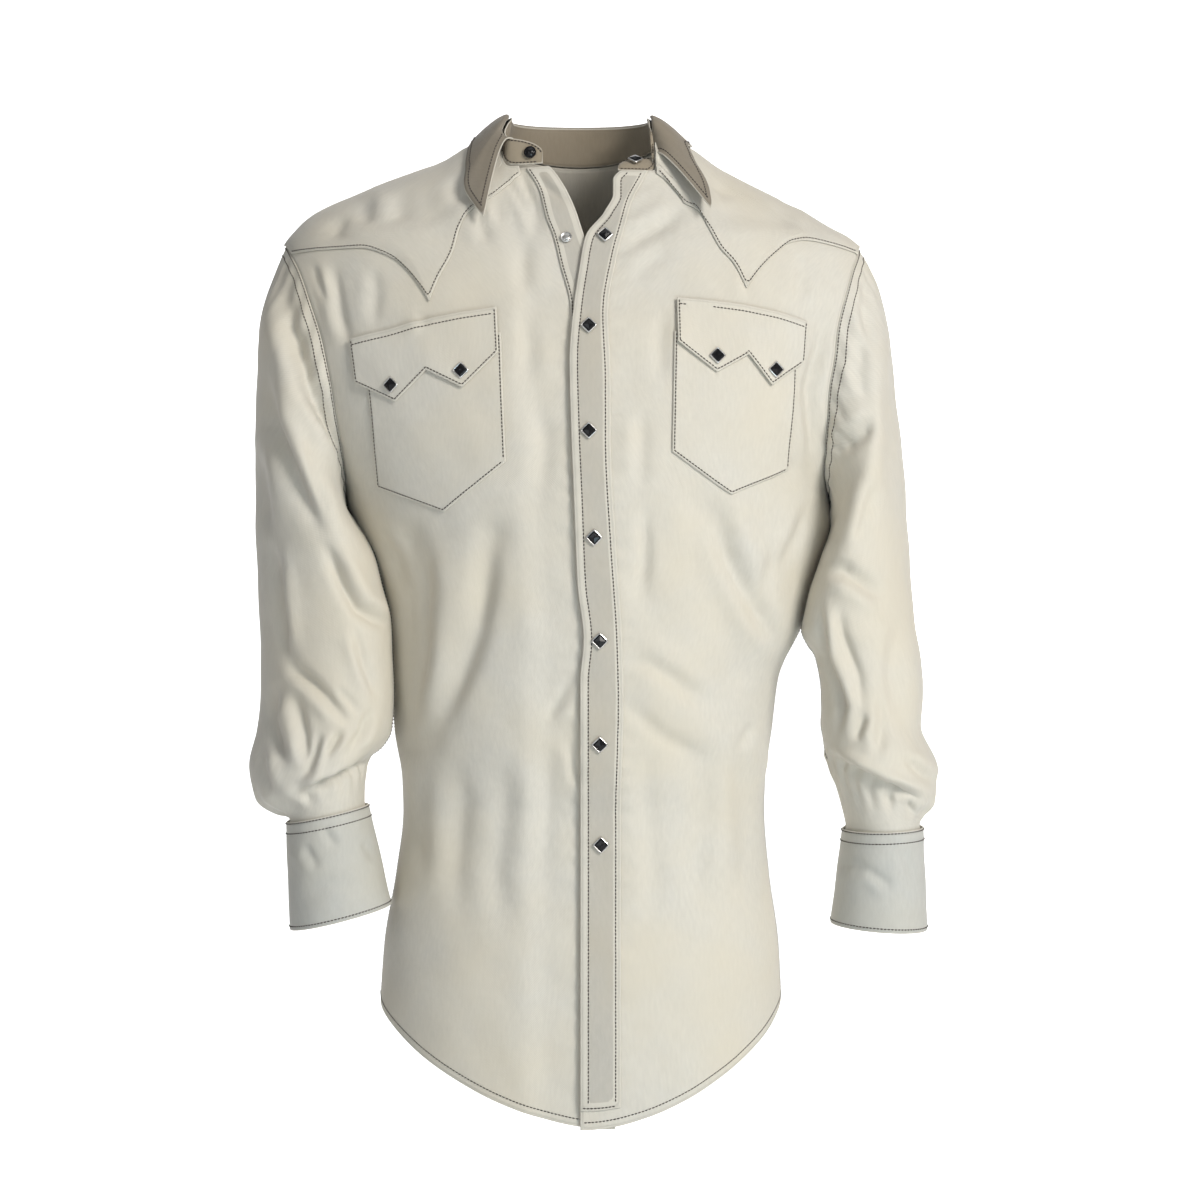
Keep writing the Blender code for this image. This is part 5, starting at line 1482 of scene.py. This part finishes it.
def cloth_material(name, colour, edge_colour, sheen, strip):
    """Gabardine: a steep fine twill, uneven yarns, slubs, slow changes of tone, soft rumples, a
    pressed groove beside each edge with painted shade along it, and worn or lighter edges."""
    material, tree, shader = start_material(name)
    uv = node(tree, "ShaderNodeUVMap", (-1400, 0), uv_map="cloth").outputs[0]
    place = node(tree, "ShaderNodeTexCoord", (-1400, -600)).outputs["Object"]
    near = node(tree, "ShaderNodeAttribute", (-1000, -900),
                attribute_name="from_edge").outputs["Fac"]
    twill = node(tree, "ShaderNodeTexWave", (-1000, 200), {
        "Vector": stretched(tree, uv, (1000, 1000, 1000), (-1200, 200), math.radians(62)),
        "Scale": 0.34, "Distortion": 0.8, "Detail": 1.0}).outputs["Fac"]
    yarn, weft, slub = (
        noise(tree, stretched(tree, uv, scale, (-1200, down)), 1.0, detail, (-1000, down))
        for scale, detail, down in (((2200, 260, 1000), 4.0, -100), ((240, 2400, 1000), 3.0, -300),
                                    ((420, 110, 1000), 3.0, -450)))
    tone = noise(tree, place, 9.0, 3.0, (-1000, -600))
    mottle = noise(tree, place, 85.0, 3.0, (-1000, -750))
    rumple = noise(tree, place, 34.0, 2.0, (-600, -800))
    weave = weighted(tree, (twill, 0.35), (yarn, 0.4), (weft, 0.25))
    base = mix_colour(tree, shade(colour, 0.78), shade(colour, 1.20),
                      weighted(tree, (weave, 0.45), (slub, 0.55)))
    base = mix_colour(tree, base, tinted(colour, (0.95, 0.98, 1.04)),
                      calculate(tree, "MULTIPLY", mottle, 0.5, clamp=True))
    base = mix_colour(tree, base, tinted(colour, (1.02, 0.98, 0.90)),
                      ramp(tree, tone, 0.40, 0.66, 0.0, 0.6, (-600, -600)))
    fading = calculate(tree, "EXPONENT", calculate(tree, "MULTIPLY", near, -0.4))
    base = mix_colour(tree, base, shade(colour, 1.12), calculate(tree, "MULTIPLY", fading, 0.35))
    if strip:
        base = mix_colour(tree, base, edge_colour, ramp(
            tree, near, strip - 0.3, strip + 0.3, 0.95, 0.0, (-600, -1100)))
    off_line = calculate(tree, "SUBTRACT", near, 1.9)
    squared = calculate(tree, "MULTIPLY", off_line, off_line)
    pressed_groove_and_shade = calculate(tree, "EXPONENT", calculate(tree, "MULTIPLY", squared, -1.6))
    # Painted shade: the cloth is darkened along the pressed groove 1.9 mm inside each cut edge,
    # beside the stitching; the same mask sinks the groove in the bump below.
    base = mix_colour(tree, base, shade(colour, 0.45), calculate(tree, "MULTIPLY", pressed_groove_and_shade, 0.22))
    base = mix_colour(tree, base, edge_colour,
                      ramp(tree, near, 0.4, 1.1, 0.85, 0.0, (-600, -900)))
    soft = node(tree, "ShaderNodeBump", (-450, -800),
                {"Strength": 0.5, "Distance": 0.0024, "Height": rumple})
    bump = node(tree, "ShaderNodeBump", (-300, -600), {
        "Strength": 0.45, "Distance": 0.0003, "Normal": soft.outputs[0],
        "Height": weighted(tree, (weave, 1.0), (pressed_groove_and_shade, -0.9), (slub, 0.8))})
    finish = {"Base Color": base, "Normal": bump.outputs[0], "Sheen Weight": sheen,
              "Roughness": ramp(tree, weave, 0.0, 1.0, 0.58, 0.78, (-400, -300)),
              "Sheen Roughness": 0.45, "Specular IOR Level": 0.28}
    for key, value in finish.items():
        fill(tree, shader.inputs[key], value)
    return material


def speckled_material(name, first, second, scale, detail, inputs):
    """A finish between two colours mixed by a fine noise: with its tree, shader and noise."""
    material, tree, shader = start_material(name)
    place = node(tree, "ShaderNodeTexCoord", (-800, 0)).outputs["Object"]
    speckle = noise(tree, place, scale, detail, (-600, 0))
    fill(tree, shader.inputs["Base Color"], mix_colour(tree, first, second, speckle))
    for key, value in inputs.items():
        fill(tree, shader.inputs[key], value)
    return material, tree, shader, speckle


def thread_material(name, colour):
    """Thread: dark, with light and dark turns along each stitch."""
    return speckled_material(name, colour, shade(colour, 1.7, 0.01), 900.0, 2.0,
                             {"Roughness": 0.6, "Sheen Weight": 0.15})[0]


def stone_material(name, colour):
    """Black stone: glossy, with a faint cloudy tone."""
    return speckled_material(name, colour, shade(colour, 1.6, 0.001), 260.0, 2.0,
                             {"Roughness": 0.09, "Specular IOR Level": 0.3})[0]


def metal_material(name, colour):
    """Plated metal: bright, with fine scratches and a little tarnish."""
    material, tree, shader, scratches = speckled_material(
        name, shade(colour, 0.72), colour, 420.0, 4.0, {"Metallic": 1.0})
    fill(tree, shader.inputs["Roughness"],
         ramp(tree, scratches, 0.0, 1.0, 0.24, 0.42, (-300, -200)))
    return material


def get_material(name):
    """A finish by name, made once."""
    if name in bpy.data.materials:
        return bpy.data.materials[name]
    colours = bpy.context.scene.shirt_colours
    if name in CLOTHS:
        finish = CLOTHS[name]
        return cloth_material(name, tuple(getattr(colours, finish.colour)),
                              tuple(colours.cloth), finish.sheen, finish.strip)
    make, colour = {"shirt_thread": (thread_material, colours.thread),
                    "shirt_stone": (stone_material, colours.stone),
                    "shirt_silver": (metal_material, colours.silver)}[name]
    return make(name, tuple(colour))


# ---------------------------------------------------------------- properties

def length_property(name, text, default):
    return bpy.props.FloatProperty(name=name, description=text, default=default, unit="LENGTH",
                                   min=0.00001, precision=5)


def colour_property(name, text, default):
    return bpy.props.FloatVectorProperty(name=name, description=text, default=default,
                                         subtype="COLOR", size=3, min=0.0, max=1.0)


class ShirtSizes(bpy.types.PropertyGroup):
    wall: length_property("Cloth", "Thickness of the cloth", 0.0012)
    stitch: length_property("Stitch", "Length of one stitch", 0.0024)
    stitch_gap: length_property("Stitch Gap", "Cloth between two stitches", 0.0005)
    thread: length_property("Thread", "Thickness of the thread", 0.00105)
    snap_side: length_property("Snap", "Side of a square snap cap", 0.010)
    floor_drop: length_property("Floor Drop", "Height of the neck above the floor", 1.02)
    crease_strength: bpy.props.FloatProperty(
        name="Creases", description="How deep the creases are", default=1.35, subtype="FACTOR",
        min=0.0, max=2.0)


class ShirtColours(bpy.types.PropertyGroup):
    cloth: colour_property("Cloth", "Colour of the gabardine", (0.600, 0.571, 0.499))
    band: colour_property("Bands", "Colour of the two front bands", (0.470, 0.445, 0.388))
    # Painted shade: the cuffs' colour is the cloth's made darker and cooler for the shade low on
    # the sleeves.
    cuffs: colour_property("Cuffs", "Colour of the cuffs", (0.492, 0.487, 0.446))
    # The stand's colour is partly the collar's own darker taupe and partly painted shade, for the
    # shade under the fall and round the neck.
    stand: colour_property("Stand", "Colour of the collar's stand", (0.310, 0.265, 0.200))
    collar: colour_property("Collar", "Colour of the collar's fall", (0.240, 0.210, 0.166))
    thread: colour_property("Thread", "Colour of the thread", (0.026, 0.019, 0.013))
    stone: colour_property("Stones", "Colour of the snaps' stones", (0.006, 0.006, 0.007))
    silver: colour_property("Silver", "Colour of the snaps' metal", (0.80, 0.79, 0.77))
    floor: colour_property("Floor", "Colour of the floor", (0.94, 0.94, 0.94))


# ---------------------------------------------------------------- operators

class SHIRT_OT_fronts(bpy.types.Operator):
    """Makes the right and left front of the shirt"""
    bl_idname = "shirt.fronts"
    bl_label = "Fronts"

    def execute(self, context):
        rows = panel_rows(FRONT_STEP)[:, None]
        across = np.linspace(0, 1, FRONT_COLUMNS)
        for side, name in ((-1, "front_right"), (1, "front_left")):
            angles, heights = front_place(side, rows, across)
            add_on_body(name, angles, heights, -front_sink(side, angles, heights),
                        "shirt_cloth", [HEM_SEAM, SIDE_SEAM])
        return {"FINISHED"}


class SHIRT_OT_back(bpy.types.Operator):
    """Makes the back of the shirt"""
    bl_idname = "shirt.back"
    bl_label = "Back"

    def execute(self, context):
        angles, heights = back_place(panel_rows(BACK_STEP)[:, None],
                                     np.linspace(0, 1, BACK_COLUMNS))
        add_on_body("back", angles, heights, 0 * angles, "shirt_cloth",
                    [HEM_SEAM, SIDE_SEAM._replace(edge="start"), SIDE_SEAM])
        return {"FINISHED"}


class SHIRT_OT_yokes(bpy.types.Operator):
    """Makes the two pointed front yokes and the back yoke"""
    bl_idname = "shirt.yokes"
    bl_label = "Yokes"

    def execute(self, context):
        for side, name in ((-1, "yoke_front_right"), (1, "yoke_front_left")):
            angles, heights = yoke_grid(side)
            out = yoke_lift(len(angles)) - front_sink(side, angles, heights)
            add_on_body(name, angles, heights, out, "shirt_cloth", [YOKE_SEAM])
        angles, heights = back_yoke_grid()
        add_on_body("yoke_back", angles, heights, yoke_lift(len(angles)) + 0 * angles,
                    "shirt_cloth", [YOKE_SEAM])
        return {"FINISHED"}


class SHIRT_OT_bands(bpy.types.Operator):
    """Makes the placket on the left front and the band under it on the right front"""
    bl_idname = "shirt.bands"
    bl_label = "Bands"

    def execute(self, context):
        rows = panel_rows(FRONT_STEP)
        rows = rows[(rows > BAND_START) & (rows < LAST_ROW - BAND_END)]
        rows = np.concatenate([[BAND_START], rows, [LAST_ROW - BAND_END]])
        for side, name, seams in ((1, "placket", PLACKET_SEAMS),
                                  (-1, "under_placket", UNDER_SEAMS)):
            angles, heights = band_grid(side, rows, np.linspace(0, 1, BAND_COLUMNS))
            add_on_body(name, angles, heights, LAYER - front_sink(side, angles, heights),
                        "shirt_band_cloth", seams)
        return {"FINISHED"}


class SHIRT_OT_pockets(bpy.types.Operator):
    """Makes the two pointed pockets and their two-pointed flaps"""
    bl_idname = "shirt.pockets"
    bl_label = "Pockets"

    def execute(self, context):
        for name, outline, layers, more in (("pocket_right", POCKET_RIGHT, 1, []),
                                            ("pocket_left", POCKET_LEFT, 1, []),
                                            ("flap_right", FLAP_RIGHT, 2, [FLAP_SEAM]),
                                            ("flap_left", FLAP_LEFT, 2, OPEN_FLAP_SEAMS)):
            angles, heights = patch_grid(outline, PATCH_STEPS // (len(outline[0]) - 1),
                                         PATCH_STEPS // layers)
            down = np.linspace(0, 1, len(angles))[:, None]
            across = np.linspace(0, 1, angles.shape[1])
            lift = FLAP_LIFT * (layers - 1) * down ** 3 * (0.7 + 0.3 * np.sin(9 * across + layers))
            add_on_body(name, angles, heights, layers * LAYER + lift, "shirt_cloth",
                        POCKET_SEAMS + more)
        return {"FINISHED"}


class SHIRT_OT_sleeves(bpy.types.Operator):
    """Makes the two sleeves and the bands over their slits"""
    bl_idname = "shirt.sleeves"
    bl_label = "Sleeves"

    def execute(self, context):
        wall = cloth_wall()
        turns = np.linspace(0, 360, SLEEVE_TURNS + 1)[:-1]
        stops = np.concatenate([np.linspace(0, SLEEVE_CUFF, 156),
                                np.linspace(SLEEVE_CUFF, SLEEVE_END, 12)[1:]])
        slit_turns = np.linspace(*SLIT_TURNS, 9)
        slit_stops = np.linspace(*SLIT_STOPS, 40)
        for side, name in ((-1, "right"), (1, "left")):
            outer, normals = sleeve_face(side, stops, turns)
            inner = outer - normals * wall
            turned = [beside_armhole(side, turns, beyond, out)[None]
                      for beyond, out in SEAM_ALLOWANCE]
            add_cloth(f"sleeve_{name}", np.concatenate(turned[:2] + [outer]),
                      np.concatenate(turned[2:] + [inner]), "shirt_cloth", closed=True)
            lines = [seam_line(outer, inner, seam, closed=True) for seam in ARMHOLE_SEAMS]
            under = np.concatenate([outer, normals], axis=-1)[6:-14, UNDERARM_COLUMN]
            add_stitches(f"sleeve_{name}", lines + [under])
            face, normals = sleeve_face(side, slit_stops, slit_turns)
            outer = face + normals * (LAYER + SLIT_LIFT)
            add_cloth(f"sleeve_placket_{name}", outer, outer - normals * wall, "shirt_cloth",
                      SLIT_SEAMS)
        return {"FINISHED"}


class SHIRT_OT_cuffs(bpy.types.Operator):
    """Makes the two cuffs"""
    bl_idname = "shirt.cuffs"
    bl_label = "Cuffs"

    def execute(self, context):
        for side, name in ((-1, "cuff_right"), (1, "cuff_left")):
            outer = cuff_face(side, *CUFF_GRID)
            normals = grid_normals(outer, closed=False) * side
            add_cloth(name, outer, outer - normals * cloth_wall(), "shirt_cuff_cloth", CUFF_SEAMS)
        return {"FINISHED"}


class SHIRT_OT_collar(bpy.types.Operator):
    """Makes the collar's stand and its fall"""
    bl_idname = "shirt.collar"
    bl_label = "Collar"

    def execute(self, context):
        middle = np.linspace(STAND_FIRST + STAND_END_DEGREES, STAND_LAST - STAND_END_DEGREES,
                             STAND_COLUMNS[0])
        ends = STAND_END_DEGREES * np.linspace(0, 1, STAND_COLUMNS[1])[:-1] ** 1.6
        angles = np.concatenate([STAND_FIRST + ends, middle, STAND_LAST - ends[::-1]])
        for name, outer, finish, seams in (
                ("collar_stand", stand_face(angles, STAND_ROWS), "shirt_stand_cloth", STAND_SEAMS),
                ("collar_fall", fall_face(*FALL_GRID), "shirt_collar_cloth", FALL_SEAMS)):
            inner = outer + grid_normals(outer, closed=False) * cloth_wall()
            add_cloth(name, outer, inner, finish, seams)
        return {"FINISHED"}


class SHIRT_OT_snaps(bpy.types.Operator):
    """Makes the square snaps with their stones, and the two round parts of open snaps"""
    bl_idname = "shirt.snaps"
    bl_label = "Snaps"

    def execute(self, context):
        places = [front_spot(spot, LAYER + SNAP_CLEARANCE) for spot in FRONT_SNAPS]
        nodes = [f"snap_front_{k}" for k in range(1, 8)]
        for name, spots in (("right", FLAP_SNAPS_RIGHT), ("left", FLAP_SNAPS_LEFT)):
            places += [front_spot(spot, 2 * LAYER + SNAP_CLEARANCE) for spot in spots]
            nodes += [f"snap_flap_{name}_{k}" for k in (1, 2)]
        places.append(collar_spot(COLLAR_CAP_ANGLE, 0.66))
        nodes.append("snap_collar")
        for side, name in ((-1, "right"), (1, "left")):
            places += cuff_spots(side)
            nodes += [f"snap_cuff_{name}_{k}" for k in (1, 2, 3)]
        silver = get_material("shirt_silver")
        black = get_material("shirt_stone")
        add_fasteners("snap_bezels", places, bezel_shape(), silver, "silver", nodes, True)
        add_fasteners("snap_stones", places, stone_shape(), black, "black_stone", nodes, False)
        add_fasteners("stud_front_metal", [front_spot(FRONT_STUD, -LAYER + SNAP_CLEARANCE)],
                      round_shape(STUD), silver, "silver", ["stud_front"], True)
        add_fasteners("stud_collar_black", [collar_spot(COLLAR_STUD_ANGLE, 0.5)],
                      round_shape(BUTTON), black, "black_stone", ["stud_collar"], True)
        return {"FINISHED"}


class SHIRT_OT_stage(bpy.types.Operator):
    """Makes the floor, the lights and the camera"""
    bl_idname = "shirt.stage"
    bl_label = "Stage"

    def execute(self, context):
        scene = context.scene
        add_floor(scene.shirt_sizes.floor_drop, tuple(scene.shirt_colours.floor))
        add_lights()
        add_camera()
        return {"FINISHED"}


def add_floor(drop, colour):
    """A floor that turns up behind: a profile of Y and Z carried along X.  It glows a little
    behind the shirt, so that it looks as white there as in front."""
    bend = np.linspace(0, math.pi / 2, 20)
    y = np.concatenate([[-5.0, -2.0, 0.0], 2.2 + 1.2 * np.sin(bend), [3.4]])
    z = np.concatenate([[0, 0, 0], 1.2 - 1.2 * np.cos(bend), [5.0]]) - drop
    x = np.linspace(-6, 6, 9)
    grid = np.stack(np.broadcast_arrays(x[None, :], y[:, None], z[:, None]), axis=-1)
    rows, columns = grid.shape[:2]
    index = np.arange(rows * columns).reshape(rows, columns)
    quads = np.stack([index[:-1, :-1], index[:-1, 1:], index[1:, 1:], index[1:, :-1]], axis=-1)
    mesh = fill_mesh("floor", grid.reshape(-1, 3), quads.reshape(-1, 4))
    material, tree, shader, _ = speckled_material(
        "stage_paper", shade(colour, 0.99), colour, 3.0, 2.0,
        {"Roughness": 0.9, "Emission Color": (1.0, 1.0, 1.0, 1.0)})
    place = node(tree, "ShaderNodeTexCoord", (-800, -300)).outputs["Object"]
    apart = node(tree, "ShaderNodeSeparateXYZ", (-600, -300), {0: place})
    aside = ramp(tree, calculate(tree, "ABSOLUTE", apart.outputs[0]), 1.7, 2.4, 0.9, 0.0,
                 (-300, -300))
    behind = ramp(tree, apart.outputs[1], 0.25, 0.5, 0.0, 1.0, (-300, -500))
    fill(tree, shader.inputs["Emission Strength"], calculate(tree, "MULTIPLY", aside, behind))
    mesh.materials.append(material)
    put_in_scene("floor", mesh)


def add_light(name, place, aim, size, energy, colour):
    light = bpy.data.lights.new(name, "AREA")
    light.shape = "RECTANGLE"
    light.size, light.size_y = size
    light.energy = energy
    light.color = colour
    lamp = put_in_scene(name, light)
    lamp.location = place
    lamp.rotation_euler = (Vector(aim) - Vector(place)).to_track_quat("-Z", "Y").to_euler()


def add_lights():
    """Soft lights: one from each side in front, one above, a small cool one low in front, and
    pale surroundings."""
    middle = (0, 0, -0.35)
    add_light("light_left_hand", (2.1, -2.5, 1.2), middle, (1.2, 1.2), 100, (1.0, 0.965, 0.92))
    add_light("light_right_hand", (-1.5, -3.0, 0.0), middle, (1.4, 1.8), 12, (0.90, 0.96, 1.0))
    add_light("light_above", (0, -0.6, 2.4), middle, (2.4, 1.6), 8, (1.0, 1.0, 1.0))
    add_light("light_low", (0.5, -1.3, -0.95), (0, 0, -0.65), (0.7, 0.3), 3.6, (0.58, 0.84, 1.0))
    world = bpy.data.worlds.new("studio")
    world.use_nodes = True
    background = world.node_tree.nodes["Background"]
    background.inputs["Color"].default_value = (1.0, 1.0, 1.0, 1.0)
    background.inputs["Strength"].default_value = 0.20
    bpy.context.scene.world = world


def add_camera():
    """The camera stands level with the middle of the drawing, at its distance."""
    camera = bpy.data.cameras.new("camera")
    camera.sensor_width = 36.0
    camera.lens = camera.sensor_width * DRAWING_DISTANCE / (DRAWING_SIZE * DRAWING_UNIT)
    camera.clip_start = 0.05
    camera.clip_end = 60.0
    seat = put_in_scene("camera", camera)
    seat.location = (DRAWING_X * MM, -DRAWING_DISTANCE * MM, DRAWING_HEIGHT * MM)
    seat.rotation_euler = (math.pi / 2, 0, 0)
    bpy.context.scene.camera = seat
    bpy.context.scene.view_settings.view_transform = "Standard"


class SHIRT_PT_panel(bpy.types.Panel):
    """Lists the pieces of the shirt"""
    bl_idname = "SHIRT_PT_panel"
    bl_label = "Western Snap Shirt"
    bl_space_type = "VIEW_3D"
    bl_region_type = "UI"
    bl_category = "Shirt"

    def draw(self, context):
        for group in (context.scene.shirt_sizes, context.scene.shirt_colours):
            for name in group.__annotations__:
                self.layout.prop(group, name)
        for operator in OPERATORS:
            self.layout.operator(operator.bl_idname)


OPERATORS = (SHIRT_OT_fronts, SHIRT_OT_back, SHIRT_OT_yokes, SHIRT_OT_bands, SHIRT_OT_pockets,
             SHIRT_OT_sleeves, SHIRT_OT_cuffs, SHIRT_OT_collar, SHIRT_OT_snaps, SHIRT_OT_stage)
CLASSES = (ShirtSizes, ShirtColours) + OPERATORS + (SHIRT_PT_panel,)


def register():
    for one in CLASSES:
        bpy.utils.register_class(one)
    bpy.types.Scene.shirt_sizes = bpy.props.PointerProperty(type=ShirtSizes)
    bpy.types.Scene.shirt_colours = bpy.props.PointerProperty(type=ShirtColours)


def unregister():
    del bpy.types.Scene.shirt_colours
    del bpy.types.Scene.shirt_sizes
    for one in reversed(CLASSES):
        bpy.utils.unregister_class(one)


def main():
    register()
    bpy.ops.shirt.fronts()
    bpy.ops.shirt.back()
    bpy.ops.shirt.yokes()
    bpy.ops.shirt.bands()
    bpy.ops.shirt.pockets()
    bpy.ops.shirt.sleeves()
    bpy.ops.shirt.cuffs()
    bpy.ops.shirt.collar()
    bpy.ops.shirt.snaps()
    bpy.ops.shirt.stage()


if __name__ == "__main__":
    main()
